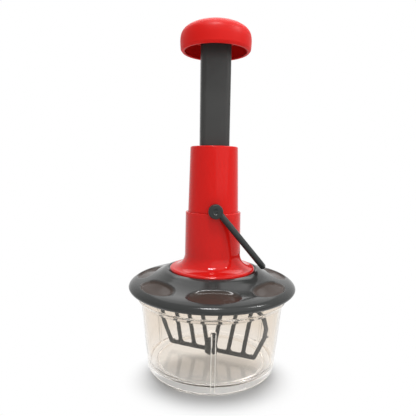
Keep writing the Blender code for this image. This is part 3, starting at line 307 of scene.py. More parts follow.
def mesh_from(name, grids):
    """One closed mesh of several grids, each a rows by columns by 3 array whose columns go all the way round."""
    vertices, faces, start = [], [], 0
    for grid in grids:
        rows, columns = grid.shape[:2]
        index = start + np.arange(rows * columns).reshape(rows, columns)
        ahead = np.roll(index, -1, 1)
        faces.append(np.stack([index[:-1], ahead[:-1], ahead[1:], index[1:]], -1).reshape(-1, 4))
        vertices.append(grid.reshape(-1, 3))
        start += rows * columns
    mesh = bpy.data.meshes.new(name)
    mesh.from_pydata(np.concatenate(vertices), [], np.concatenate(faces).tolist())
    sheet = bmesh.new()
    sheet.from_mesh(mesh)
    bmesh.ops.remove_doubles(sheet, verts=sheet.verts, dist=MERGE)
    bmesh.ops.dissolve_degenerate(sheet, edges=sheet.edges, dist=MERGE)
    bmesh.ops.recalc_face_normals(sheet, faces=sheet.faces)
    sheet.to_mesh(mesh)
    sheet.free()
    mesh.shade_smooth()
    mesh.set_sharp_from_angle(angle=SHARP_ANGLE)
    return mesh


def piece(name, grids, material, body, node):
    """A finished piece that rides on a CAD body and stands for a CAD node."""
    obj = bpy.data.objects.new(name, mesh_from(name, grids))
    bpy.context.scene.collection.objects.link(obj)
    obj.data.materials.append(material)
    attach(obj, body)
    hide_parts(node)
    return obj


def wire(tree, source, target):
    tree.links.new(source, target)


def noise(tree, size, detail=3.0, stretch=(1.0, 1.0, 1.0)):
    """A noise of features about one size, in metres, on object coordinates, optionally stretched."""
    place = tree.nodes.new("ShaderNodeTexCoord")
    scale = tree.nodes.new("ShaderNodeMapping")
    scale.inputs["Scale"].default_value = [s / size for s in stretch]
    made = tree.nodes.new("ShaderNodeTexNoise")
    made.inputs["Scale"].default_value = 1.0
    made.inputs["Detail"].default_value = detail
    wire(tree, place.outputs["Object"], scale.inputs["Vector"])
    wire(tree, scale.outputs["Vector"], made.inputs["Vector"])
    return made.outputs["Fac"]


def ranged(tree, value, low, high):
    """A noise value spread between two numbers."""
    made = tree.nodes.new("ShaderNodeMapRange")
    made.inputs["From Min"].default_value = 0.3
    made.inputs["From Max"].default_value = 0.7
    made.inputs["To Min"].default_value = low
    made.inputs["To Max"].default_value = high
    wire(tree, value, made.inputs["Value"])
    return made.outputs["Result"]


def mixed(tree, value, first, second):
    """A colour between two, by a noise value."""
    made = tree.nodes.new("ShaderNodeMix")
    made.data_type = "RGBA"
    made.inputs["A"].default_value = (*first, 1.0)
    made.inputs["B"].default_value = (*second, 1.0)
    wire(tree, value, made.inputs["Factor"])
    return made.outputs["Result"]


def finish(name, base, gloss, mottle=0.06, mottle_size=0.02, grain=0.0006, relief=0.04, scuff=0.0, **sockets):
    """A moulded or drawn finish: mottled colour, roughness that varies, fine grain in relief and long faint scuffs."""
    made = bpy.data.materials.new(name)
    made.use_nodes = True
    tree = made.node_tree
    shader = tree.nodes["Principled BSDF"]
    light = tuple(min(1.0, c * (1 + mottle)) for c in base)
    dark = tuple(c * (1 - mottle) for c in base)
    wire(tree, mixed(tree, noise(tree, mottle_size), dark, light), shader.inputs["Base Color"])
    streaks = noise(tree, 0.0012, 2.0, (1.0, 1.0, 0.06))
    rough = ranged(tree, noise(tree, mottle_size * 0.6), gloss * 0.85, gloss * 1.2)
    if scuff:
        worn = tree.nodes.new("ShaderNodeMath")
        worn.operation = "ADD"
        wire(tree, rough, worn.inputs[0])
        wire(tree, ranged(tree, streaks, -scuff * 0.3, scuff), worn.inputs[1])
        rough = worn.outputs[0]
    wire(tree, rough, shader.inputs["Roughness"])
    bump = tree.nodes.new("ShaderNodeBump")
    bump.inputs["Strength"].default_value = relief
    bump.inputs["Distance"].default_value = grain
    wire(tree, noise(tree, grain, 2.0), bump.inputs["Height"])
    wire(tree, bump.outputs["Normal"], shader.inputs["Normal"])
    for socket, value in sockets.items():
        shader.inputs[socket.replace("_", " ")].default_value = value
    return made


def let_light_through(material, tint):
    """Gives a clear material tinted shadows, and lets rays out that its foot has turned back many times."""
    tree = material.node_tree
    rays = tree.nodes.new("ShaderNodeLightPath")
    clear = tree.nodes.new("ShaderNodeBsdfTransparent")
    clear.inputs["Color"].default_value = (*(c**0.5 for c in tint), 1.0)
    place = tree.nodes.new("ShaderNodeTexCoord")
    parts = tree.nodes.new("ShaderNodeSeparateXYZ")
    wire(tree, place.outputs["Object"], parts.inputs["Vector"])
    steps = []
    for operation, source, limit in (
        ("GREATER_THAN", rays.outputs["Ray Depth"], 4.5),
        ("LESS_THAN", parts.outputs["Z"], 0.012),
    ):
        step = tree.nodes.new("ShaderNodeMath")
        step.operation = operation
        step.inputs[1].default_value = limit
        wire(tree, source, step.inputs[0])
        steps.append(step.outputs[0])
    amount = rays.outputs["Is Shadow Ray"]
    deep = tree.nodes.new("ShaderNodeMath")
    deep.operation = "MULTIPLY_ADD"
    wire(tree, steps[0], deep.inputs[0])
    wire(tree, steps[1], deep.inputs[1])
    wire(tree, amount, deep.inputs[2])
    deep.use_clamp = True
    choice = tree.nodes.new("ShaderNodeMixShader")
    wire(tree, deep.outputs[0], choice.inputs["Fac"])
    wire(tree, tree.nodes["Principled BSDF"].outputs["BSDF"], choice.inputs[1])
    wire(tree, clear.outputs["BSDF"], choice.inputs[2])
    wire(tree, choice.outputs["Shader"], tree.nodes["Material Output"].inputs["Surface"])


def paint_foot_light_by_height(material, foot, top):
    """Multiplies a material's colour by one that goes from the foot's to the top's as the height rises: painted light,
    a paler foot that stands in for the bright worktop seen through it.
    """
    tree = material.node_tree
    base = tree.nodes["Principled BSDF"].inputs["Base Color"]
    mottled = base.links[0].from_socket
    place = tree.nodes.new("ShaderNodeTexCoord")
    parts = tree.nodes.new("ShaderNodeSeparateXYZ")
    up = tree.nodes.new("ShaderNodeMapRange")
    up.interpolation_type = "SMOOTHSTEP"
    up.inputs["From Min"].default_value = 0.006
    up.inputs["From Max"].default_value = 0.03
    wire(tree, place.outputs["Object"], parts.inputs["Vector"])
    wire(tree, parts.outputs["Z"], up.inputs["Value"])
    product = tree.nodes.new("ShaderNodeMix")
    product.data_type = "RGBA"
    product.blend_type = "MULTIPLY"
    product.inputs["Factor"].default_value = 1.0
    wire(tree, mixed(tree, up.outputs["Result"], foot, top), product.inputs["A"])
    wire(tree, mottled, product.inputs["B"])
    wire(tree, product.outputs["Result"], base)


def red_finish(context, name, gloss, shine):
    """A red plastic of one colour, glossy on the column and collar and satin on the knob."""
    base = tuple(context.scene.chopper.column.red)
    return finish(name, base, gloss, 0.03, 0.03, 0.0011, 0.015, 0.02, IOR=1.5, Specular_IOR_Level=shine)


class CHOPPER_OT_bowl(bpy.types.Operator):
    """Clear tapered bowl with a stepped band, a rim lip, a foot ring and three outer ribs."""

    bl_idname = "chopper.bowl"
    bl_label = "Bowl"

    def execute(self, context):
        s = context.scene.chopper.bowl
        slope = (s.shoulder_radius - s.base_radius) / s.shoulder
        inner_floor = s.base_radius + slope * BOWL_FLOOR - s.wall
        corners = [
            (0.0, BOWL_FLOOR),
            (inner_floor, BOWL_FLOOR, 0.0055),
            (s.shoulder_radius - s.wall, s.shoulder + 0.0008, 0.0005),
            (s.band_radius - s.wall, s.band_bottom + 0.0012, 0.0005),
            (s.band_radius - s.wall, s.height, 0.0006),
            (0.0793, s.height, 0.0007),
            (0.0793, s.height - 0.002, 0.0006),
            (s.band_radius, s.height - 0.002, 0.0006),
            (s.band_radius, s.band_bottom, 0.0004),
            (s.shoulder_radius, s.shoulder, 0.0004),
            (s.base_radius, 0.0, 0.0055),
            (0.0565, 0.0, 0.001),
            (0.0545, 0.0055, 0.001),
            (0.0, 0.0055),
        ]
        profile = dense(filleted(corners), 0.0016)
        rib_turns = math.radians(-92.7) + 2 * np.pi / 3 * np.arange(3)

        def ribs(radius, height, turn):
            """Pushes the outer wall out by a rounded ridge at each rib's angle, from the foot to the rib's top."""
            wall = s.base_radius + slope * height
            outside = eased((radius - wall + 0.0009) / 0.0006)
            tall = eased((s.rib_height - height) / 0.0015) * eased((height - 0.001) / 0.003)
            away = np.abs((turn[..., None] - rib_turns + np.pi) % (2 * np.pi) - np.pi).min(-1) * wall
            return radius + 0.0011 * outside * tall * eased((0.0023 - away) / 0.0009), height

        grid = turned(profile, BOWL_COLUMNS * 3, ribs)
        material = finish(
            "clear_plastic",
            (0.99, 0.99, 0.99),
            0.03,
            0.01,
            0.03,
            0.02,
            0.004,
            0.01,
            Transmission_Weight=1.0,
            IOR=1.46,
            Specular_IOR_Level=0.28,
        )
        # Painted light: the bowl's colour turns paler towards its foot, standing in for the bright worktop seen through
        # it.
        paint_foot_light_by_height(material, tuple(s.painted_foot_light_tint), tuple(s.tint))
        let_light_through(material, tuple(s.tint))
        piece("bowl_clear", [grid], material, "bowl_body", "bowl")

        # Painted highlights: thin bright cream strips along both edges of each rib stand in for the lines of light that
        # the ribs catch.
        low, high = 0.004, s.rib_height - 0.0008
        height = np.linspace(low, high, 24)
        radius = s.base_radius + slope * height + 0.00075
        section = bar_section(0.0005, 0.0005, 0.0002)
        edges = []
        for turn in rib_turns:
            for shift in (-0.00185, 0.00185):
                at = turn + shift / radius
                path = np.stack([radius * np.cos(at), radius * np.sin(at), height], -1)
                edges.append(end_capped(carried(path, section, np.array([np.cos(turn), np.sin(turn), 0.0]))))
        rib_highlight_paint = finish("painted_rib_highlight", (0.88, 0.85, 0.79), 0.5, 0.03, 0.01, 0.0003, 0.05)
        piece("bowl_rib_highlights", edges, rib_highlight_paint, "bowl_body", "bowl")
        return {"FINISHED"}


LID_SHAPE_shares = (
    (0.046, 1.0),
    (0.12, 0.966),
    (0.218, 0.863),
    (0.34, 0.732),
    (0.487, 0.615),
    (0.633, 0.537),
    (0.756, 0.493),
    (0.853, 0.439),
    (0.927, 0.361),
    (0.98, 0.263),
    (1.0, 0.176),
    (0.985, 0.088),
    (0.941, 0.0),
)


def petal_share(s, radius, turn):
    """0 in a petal's middle and 1 on its outline: the nth root of |turn share|^n + |radius share|^n."""
    pitch = 2 * np.pi / s.petal_count
    away = np.abs((turn - s.petal_turn + pitch / 2) % pitch - pitch / 2) / s.petal_half
    along = np.abs(radius - s.seat_radius - s.width * s.petal_place) / (s.width * s.petal_reach)
    return (away**s.petal_square + along**s.petal_square) ** (1 / s.petal_square)


def mark_petals(mesh, s):
    """Writes a point attribute that is one on the petals' floors and zero elsewhere: the mask for their painted
    reflection and duller shine.
    """
    place = np.empty(len(mesh.vertices) * 3)
    mesh.vertices.foreach_get("co", place)
    x, y, z = place.reshape(-1, 3).T
    floor = eased((1 - petal_share(s, np.hypot(x, y), np.arctan2(y, x))) / 0.15) * (z > 0.0853)
    mesh.attributes.new("petal_floor", "FLOAT", "POINT").data.foreach_set("value", floor)


def paint_petal_reflection(material, tint, shine, floor_shine):
    """Multiplies the colour of the petals' floors by a warm tint, a painted reflection of the red collar, and dulls
    them.
    """
    tree = material.node_tree
    base = tree.nodes["Principled BSDF"].inputs["Base Color"]
    mottled = base.links[0].from_socket
    mark = tree.nodes.new("ShaderNodeAttribute")
    mark.attribute_name = "petal_floor"
    # Painted reflection of the red collar, multiplied into the petals' floors by their mask.
    product = tree.nodes.new("ShaderNodeMix")
    product.data_type = "RGBA"
    product.blend_type = "MULTIPLY"
    product.inputs["B"].default_value = (*tint, 1.0)
    wire(tree, mark.outputs["Fac"], product.inputs["Factor"])
    wire(tree, mottled, product.inputs["A"])
    wire(tree, product.outputs["Result"], base)
    dull = tree.nodes.new("ShaderNodeMapRange")
    dull.inputs["To Min"].default_value = shine
    dull.inputs["To Max"].default_value = floor_shine
    wire(tree, mark.outputs["Fac"], dull.inputs["Value"])
    wire(tree, dull.outputs["Result"], tree.nodes["Principled BSDF"].inputs["Specular IOR Level"])


class CHOPPER_OT_lid(bpy.types.Operator):
    """Glossy lid with sunk petals, a recess for the collar, a seal rib and a bearing boss."""

    bl_idname = "chopper.lid"
    bl_label = "Lid"

    def execute(self, context):
        s = context.scene.chopper.lid
        shape = np.array(LID_SHAPE_shares) * (s.width, s.rise) + (s.seat_radius, s.hem)
        top = flowing(shape, 110)
        under = beside(top, s.wall)[::-1]
        rib = np.array([(0.0764, 0.0852), (0.0734, 0.0852)])
        outer_part, inner_part = under[under[:, 0] > rib[0, 0]], under[under[:, 0] < rib[1, 0]]
        seat_rim = [(0.0089, LID_SEAT), (s.seat_radius, LID_SEAT, 0.0004)]
        boss = [
            (0.0119, LID_SEAT - s.wall),
            (0.0119, 0.0892),
            (0.0059, 0.0892),
            (0.0059, 0.0904),
            (0.0089, 0.0904),
            (0.0089, LID_SEAT),
        ]
        profile = np.concatenate([dense(filleted(seat_rim), 0.004), top, outer_part, rib, inner_part, boss])

        def petals(radius, height, turn):
            """Sinks both walls inside each petal: full within its outline, eased to none at its edge."""
            above = eased((height - 0.0853) / 0.001)
            return radius, height - s.petal_depth * above * eased((1 - petal_share(s, radius, turn)) / s.petal_edge)

        grid = turned(profile, LID_COLUMNS, petals)
        material = finish("glossy_dark_plastic", tuple(s.tone), 0.14, 0.05, 0.03, 0.0015, 0.02, 0.04, IOR=1.52, Specular_IOR_Level=0.17)
        shell = piece("lid_shell", [grid], material, "lid_unit", "lid")
        mark_petals(shell.data, s)
        paint_petal_reflection(material, tuple(s.petal_painted_reflection), 0.17, 0.07)
        return {"FINISHED"}


class CHOPPER_OT_column(bpy.types.Operator):
    """Red column with a shaped mouth for the stem, and the flared collar round its foot."""

    bl_idname = "chopper.column"
    bl_label = "Column and collar"

    def execute(self, context):
        s = context.scene.chopper.column
        p = context.scene.chopper.plunger
        red = red_finish(context, "red_column_plastic", 0.1, 0.12)
        glossy = red_finish(context, "glossy_red_plastic", 0.04, 0.17)

        outer = [(s.radius, FLANGE_BOTTOM), (s.radius, LEDGE), (s.top_radius, COLUMN_TOP, 0.0015), (0.019, COLUMN_TOP)]
        outside = dense(filleted(outer), 0.004)
        inside = np.array(
            [(0.0186, COLUMN_TOP - 0.005), (s.bore_radius, COLUMN_TOP - 0.005), (s.bore_radius, FLANGE_BOTTOM)]
        )
        half_x, half_y = p.stem_width * 1.01 + 0.0004 - p.stem_width / 2, p.stem_depth / 2 + 0.0004
        mouth = np.linspace(0, np.pi / 2, 5)
        lip = np.stack([0.0008 * (1 - np.sin(mouth)), COLUMN_TOP - 0.0008 * (1 - np.cos(mouth))], -1)
        lip = np.concatenate([lip, [(0.0, COLUMN_TOP - 0.005)]])
        turn = np.linspace(0, 2 * np.pi, ROUND_COLUMNS, endpoint=False)
        edge = box_radius(turn, half_x, half_y, p.stem_corner)
        opening = np.stack(
            [
                (edge[None] + lip[:, :1]) * np.cos(turn),
                (edge[None] + lip[:, :1]) * np.sin(turn),
                lip[:, 1:] + 0 * edge[None],
            ],
            -1,
        )
        grid = np.concatenate([turned(outside, ROUND_COLUMNS), opening, turned(inside, ROUND_COLUMNS)])
        piece("column_tube", [ringed(grid)], red, "lid_unit", "column")

        sleeve = s.radius + 0.0003 + s.collar_wall
        flare_top = FLANGE_BOTTOM + 0.0032 + s.flare_radius
        arc = np.linspace(np.pi, 1.5 * np.pi, 25)[:, None]
        spoke = np.hstack([np.cos(arc), np.sin(arc)])
        centre = np.array([sleeve + s.flare_radius, flare_top])
        rim = [
            (centre[0] + 0.0006, FLANGE_BOTTOM + 0.0031),
            (s.flange_radius, FLANGE_BOTTOM + 0.0018, 0.0009),
            (s.flange_radius, FLANGE_BOTTOM, 0.0003),
            (centre[0], FLANGE_BOTTOM),
        ]
        profile = np.concatenate(
            [
                filleted(
                    [
                        (s.radius + 0.0003, LEDGE - 0.001),
                        (s.radius + 0.0003, LEDGE, 0.0004),
                        (sleeve - 0.0004, LEDGE, 0.0009),
                        (sleeve, flare_top + 0.002),
                    ]
                ),
                centre + s.flare_radius * spoke,
                filleted(rim),
                (centre + (s.flare_radius + s.collar_wall) * spoke)[::-1],
            ]
        )
        grid = ringed(turned(dense(profile, 0.003), ROUND_COLUMNS))
        piece("collar_sleeve", [grid], glossy, "lid_unit", "collar")
        return {"FINISHED"}


class CHOPPER_OT_stem(bpy.types.Operator):
    """Dark rounded rectangular stem, a little wider at its top."""

    bl_idname = "chopper.stem"
    bl_label = "Stem"

    def execute(self, context):
        s = context.scene.chopper.plunger
        x, y = s.stem_width / 2, s.stem_depth / 2
        signs = ((1, 1), (-1, 1), (-1, -1), (1, -1))
        outer = filleted([(x * i, y * j, s.stem_corner) for i, j in signs], 12, True)
        wall = 0.0022
        inner = filleted([((x - wall) * i, (y - wall) * j, s.stem_corner - wall) for i, j in signs], 12, True)
        up = np.linspace(0, 1, 40)
        height = STEM_BOTTOM + (STEM_TOP - STEM_BOTTOM) * up

        def tube(outline, rows):
            """The outline at each height, its x widened by a fiftieth from foot to top."""
            width = outline[None, :, 0] * (1 + 0.02 * up[rows, None])
            return np.stack([width, outline[None, :, 1] + 0 * width, height[rows, None] + 0 * width], -1)

        rows = np.arange(40)
        grid = ringed(np.concatenate([tube(outer, rows), tube(inner, rows[::-1])]))
        material = finish("satin_dark_plastic", tuple(s.tone), 0.36, 0.06, 0.012, 0.0004, 0.12, 0.06, IOR=1.5, Specular_IOR_Level=0.25)
        piece("stem_rod", [grid], material, "plunger", "stem")
        return {"FINISHED"}


KNOB_SHAPE_shares = (
    (0.0, 1.0),
    (0.17, 0.995),
    (0.339, 0.979),
    (0.593, 0.916),
    (0.791, 0.819),
    (0.910, 0.707),
    (0.977, 0.575),
    (1.0, 0.436),
    (1.0, 0.226),
    (0.989, 0.070),
)


class CHOPPER_OT_knob(bpy.types.Operator):
    """Hollow red mushroom knob with a rounded rim and a core that grips the stem."""

    bl_idname = "chopper.knob"
    bl_label = "Knob"

    def execute(self, context):
        s = context.scene.chopper.plunger
        dome = flowing(np.array(KNOB_SHAPE_shares) * (s.knob_radius, s.knob_height) + (0.0, KNOB_BOTTOM), 70)
        inner = beside(dome, s.knob_wall)[::-1]
        inner = inner[(inner[:, 0] > 0.0215) & (inner[:, 1] > KNOB_BOTTOM + 0.003)]
        rim = filleted(
            [
                tuple(dome[-1]),
                (0.946 * s.knob_radius, KNOB_BOTTOM, 0.0012),
                (0.946 * s.knob_radius - s.knob_wall, KNOB_BOTTOM, 0.0012),
                tuple(inner[0]),
            ]
        )
        core_bottom, socket_top = KNOB_BOTTOM + 0.0095, KNOB_BOTTOM + 0.0175
        core = filleted(
            [
                tuple(inner[-1]),
                (0.0198, inner[-1][1] - 0.0006, 0.001),
                (0.0198, core_bottom, 0.0008),
                (0.0190, core_bottom),
            ]
        )
        shell = turned(np.concatenate([dome[:-1], rim, inner, core[1:]]), ROUND_COLUMNS)
        turn = np.linspace(0, 2 * np.pi, ROUND_COLUMNS, endpoint=False)
        half_x = s.stem_width * 0.51 + 0.0003
        edge = box_radius(turn, half_x, s.stem_depth / 2 + 0.0003, s.stem_corner)
        steps = np.array([(1.0, core_bottom), (1.0, socket_top), (0.0, socket_top)])
        socket = np.stack(
            [
                steps[:, :1] * edge * np.cos(turn),
                steps[:, :1] * edge * np.sin(turn),
                steps[:, 1:] + 0 * edge,
            ],
            -1,
        )
        satin = red_finish(context, "satin_red_plastic", 0.42, 0.11)
        piece("knob_cap", [np.concatenate([shell, socket])], satin, "plunger", "knob")
        return {"FINISHED"}


def placed(grid, matrix):
    """A grid moved by a 4 by 4 matrix."""
    m = np.array(matrix)
    return grid @ m[:3, :3].T + m[:3, 3]


def bar_section(width, thickness, corner):
    """A rounded rectangle, as (across, through) points."""
    x, y = width / 2, thickness / 2
    return filleted([(x, y, corner), (-x, y, corner), (-x, -y, corner), (x, -y, corner)], 4, True)


def corner_webs(corners, radius, thickness):
    """Small plates that fill the corners of an opening out to an arc: fans from a point behind each corner."""
    outline = [(x, y, radius) for x, y in corners]
    arcs = filleted(outline, 6, True).reshape(len(corners), 7, 2)
    here = np.array(corners)[:, None]
    behind = here + 0.0008 * unit(here - arcs.mean(1, keepdims=True))
    rims = np.concatenate([behind, arcs], 1)
    webs = []
    for rim, point in zip(rims, behind):
        rows = np.stack([point + 0 * rim, rim, rim, point + 0 * rim])
        through = np.array([-0.5, -0.5, 0.5, 0.5])[:, None] * thickness + 0 * rows[..., 0]
        webs.append(np.stack([rows[..., 0], through, rows[..., 1]], -1))
    return webs


def turned_solid(corners, columns=48):
    """A closed solid turned from filleted corners."""
    return turned(filleted(corners), columns)


class CHOPPER_OT_whisk(bpy.types.Operator):
    """Flat whisk paddle: an outer frame, three slanted bars a side, two webs and two hubs."""

    bl_idname = "chopper.whisk"
    bl_label = "Whisk"

    def execute(self, context):
        s = context.scene.chopper.whisk
        low, high = s.rail, s.rail + s.height
        side = [(0.801, 0.0), (0.971, 0.426), (1.0, 0.626), (0.957, 0.816), (0.852, 0.942), (0.801, 1.0)]
        right = [(s.reach * x, low + s.height * z, 0.002) for x, z in side]
        left = [(-x, z, radius) for x, z, radius in reversed(right)]
        loop = filleted(right + left, 5, True)
        up = np.array([0.0, 1.0, 0.0])
        flat = lambda path: np.stack([path[:, 0], 0 * path[:, 0], path[:, 1]], -1)
        section = bar_section(s.bar, s.thickness, 0.0006)
        wrapped = np.concatenate([loop[-1:], loop, loop[:1]])
        frame_grid = ringed(carried(flat(wrapped), section, up)[1:-1])
        grids = [frame_grid]

        feet, heads = np.array([0.06, 0.324, 0.598]) * s.reach, np.array([0.215, 0.494, 0.75]) * s.reach
        thinner = bar_section(s.bar, s.thickness - 0.00004, 0.0006)
        for sign in (-1, 1):
            for foot, head in zip(feet, heads):
                path = np.linspace((sign * foot, low), (sign * head, high), 8)
                grids.append(end_capped(carried(flat(path), thinner, up)))

        half = s.bar / 2

        def bar_x(index, height):
            """How far out a slanted bar's middle is at a height."""
            return feet[index] + (heads[index] - feet[index]) * (height - low) / s.height

        inside = beside(np.array([(x, z) for x, z, _ in right[:-1]]), -half)
        cells = []
        for index in range(2):
            foot, head = low + half, high - half
            cells.append(
                [
                    (bar_x(index, foot) + half, foot),
                    (bar_x(index + 1, foot) - half, foot),
                    (bar_x(index + 1, head) - half, head),
                    (bar_x(index, head) + half, head),
                ]
            )
        cells.append(
            [
                (bar_x(2, low + half) + half, low + half),
                (inside[0][0] - half / 2, low + half),
                *map(tuple, inside[1:]),
                (bar_x(2, high - s.bar) + half, high - half),
            ]
        )
        for cell in cells:
            for mirror in (1, -1):
                flipped = [(mirror * x, z) for x, z in cell][::mirror]
                grids += corner_webs(flipped, s.corner, s.thickness - 0.0001)

        def web(bottom, top):
            """A plate between the two inner bars, as rows of rounded slices from one bar to the other."""
            height = (top - bottom) / 2
            x = np.interp([bottom, top], [low, high], [feet[0], heads[0]]).mean()
            path = np.linspace((-x, bottom + height), (x, bottom + height), 6)
            return end_capped(carried(flat(path), bar_section(2 * height, s.thickness - 0.00008, 0.0004), up))

        grids.append(web(low, low + 0.2 * s.height))
        grids.append(web(low + 0.73 * s.height, high))
        grids.append(
            turned_solid(
                [(0.0, 0.0093), (0.0035, 0.0093, 0.001), (0.0064, 0.0115, 0.001), (0.0064, 0.025, 0.0012), (0.0, 0.025)]
            )
        )
        hub_foot = low + 0.78 * s.height
        grids.append(
            turned_solid([(0.0, hub_foot), (0.0075, hub_foot, 0.0015), (0.0075, 0.0863, 0.0006), (0.0, 0.0863)])
        )
        nib = bar_section(0.0014, 0.0014, 0.0004)
        path = np.linspace((-0.0018, 0.0), (0.0018, 0.0), 4)
        turn = Matrix.Translation((1.01 * s.reach, 0.0, low + 0.46 * s.height)) @ Matrix.Rotation(
            math.radians(-25), 4, "Y"
        )
        grids.append(placed(end_capped(carried(flat(path), nib, up)), turn))
        stand = Matrix.Rotation(s.turn, 4, "Z")
        material = finish("whisk_plastic", tuple(s.tone), 0.34, 0.08, 0.01, 0.0005, 0.1, 0.05, IOR=1.5, Specular_IOR_Level=0.25)
        grids = [placed(grid, stand) for grid in grids]
        piece("whisk_paddle", grids, material, "rotor", "whisk")
        return {"FINISHED"}


class CHOPPER_OT_bail(bpy.types.Operator):
    """Lowered bail: a U of round rod between two pivot discs."""

    bl_idname = "chopper.bail"
    bl_label = "Bail"

    def execute(self, context):
        s = context.scene.chopper.bail
        half = s.side
        route = filleted([(-half, 0.0), (-half, s.arm, s.bend), (half, s.arm, s.bend), (half, 0.0)], 14)
        route = dense(route, 0.004)
        path = np.stack([0 * route[:, 0] - s.offset, route[:, 0], route[:, 1]], -1)
        turn = np.linspace(0, 2 * np.pi, 24, endpoint=False)
        section = s.rod_radius * np.stack([np.cos(turn), np.sin(turn)], -1)
        grids = [end_capped(carried(path, section, np.array([1.0, 0.0, 0.0])))]
        inner, outer = half - s.disc / 2, half + s.disc / 2
        disc = [
            (0.0, outer - 0.0005),
            (0.0022, outer - 0.0005, 0.0003),
            (0.0028, outer, 0.0003),
            (s.disc_radius, outer, 0.001),
            (s.disc_radius, inner, 0.0004),
            (0.0026, inner),
            (0.0026, 0.0221),
            (0.0, 0.0221),
        ]
        for sign in (-1, 1):
            grids.append(placed(turned_solid(disc, 64), Matrix.Rotation(-sign * math.pi / 2, 4, "X")))
        lean = Matrix.Translation((0.0, 0.0, PIVOT)) @ Matrix.Rotation(s.lean, 4, "Y")
        material = finish("satin_black_plastic", tuple(s.tone), 0.32, 0.08, 0.01, 0.0005, 0.1, 0.06, IOR=1.5, Specular_IOR_Level=0.25)
        grids = [placed(grid, lean) for grid in grids]
        piece("bail_rod", grids, material, "bail_body", "bail")
        return {"FINISHED"}


STEEL_NODES = ("lid_screw_1", "lid_screw_2", "lid_screw_3", "lid_screw_4", "knob_screw", "return_spring")
STEEL_NODES += ("spindle", "thrust_washer", "retaining_clip")
NYLON_NODES = ("bearing_bush", "stem_foot", "drive_nut", "stem_plug", "spindle_cap")
RUBBER_NODES = ("lid_seal", "shaft_seal", "damper_ring")


class CHOPPER_OT_inner_parts(bpy.types.Operator):
    """Finishes of the spindle, spring, nut, seals and screws that stay as the CAD made them."""

    bl_idname = "chopper.inner_parts"
    bl_label = "Inner parts"

    def execute(self, context):
        steel = finish("bright_steel", (0.62, 0.61, 0.59), 0.22, 0.08, 0.006, 0.0003, 0.08, 0.1, Metallic=1.0)
        nylon = finish("pale_nylon", (0.74, 0.73, 0.69), 0.42, 0.05, 0.008, 0.0005, 0.1, 0.05)
        rubber = finish("grey_silicone", (0.34, 0.35, 0.36), 0.55, 0.07, 0.006, 0.0004, 0.15, 0.05)
        for material, names in ((steel, STEEL_NODES), (nylon, NYLON_NODES), (rubber, RUBBER_NODES)):
            for name in names:
                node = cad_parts[name]
                node.data.materials.clear()
                node.data.materials.append(material)
        return {"FINISHED"}


def lamp(name, size, power, place, aim, shine_only=False):
    """A soft rectangular lamp that points at a spot."""
    light = bpy.data.lights.new(name, "AREA")
    light.shape = "RECTANGLE"
    light.size, light.size_y = size
    light.energy = power
    obj = bpy.data.objects.new(name, light)
    bpy.context.scene.collection.objects.link(obj)
    run = np.array(aim) - np.array(place)
    obj.rotation_euler = Matrix.Identity(3).col[0].__class__(run).to_track_quat("-Z", "Y").to_euler()
    obj.location = place
    if shine_only:
        obj.visible_diffuse = False
    return obj


def sunlight(name, energy, spread, back, right):
    """Very soft daylight that leans back and to the right by angles in degrees."""
    light = bpy.data.lights.new(name, "SUN")
    light.energy = energy
    light.angle = math.radians(spread)
    obj = bpy.data.objects.new(name, light)
    bpy.context.scene.collection.objects.link(obj)
    obj.rotation_euler = (math.radians(back), math.radians(right), 0.0)


def rays_that_see(tree):
    """One for rays from the camera, off gloss and through clear plastic, and zero for the rest."""
    rays = tree.nodes.new("ShaderNodeLightPath")
    seen = rays.outputs["Is Camera Ray"]
    for kind in ("Is Glossy Ray", "Is Transmission Ray"):
        more = tree.nodes.new("ShaderNodeMath")
        more.operation = "MAXIMUM"
        wire(tree, seen, more.inputs[0])
        wire(tree, rays.outputs[kind], more.inputs[1])
        seen = more.outputs[0]
    return seen


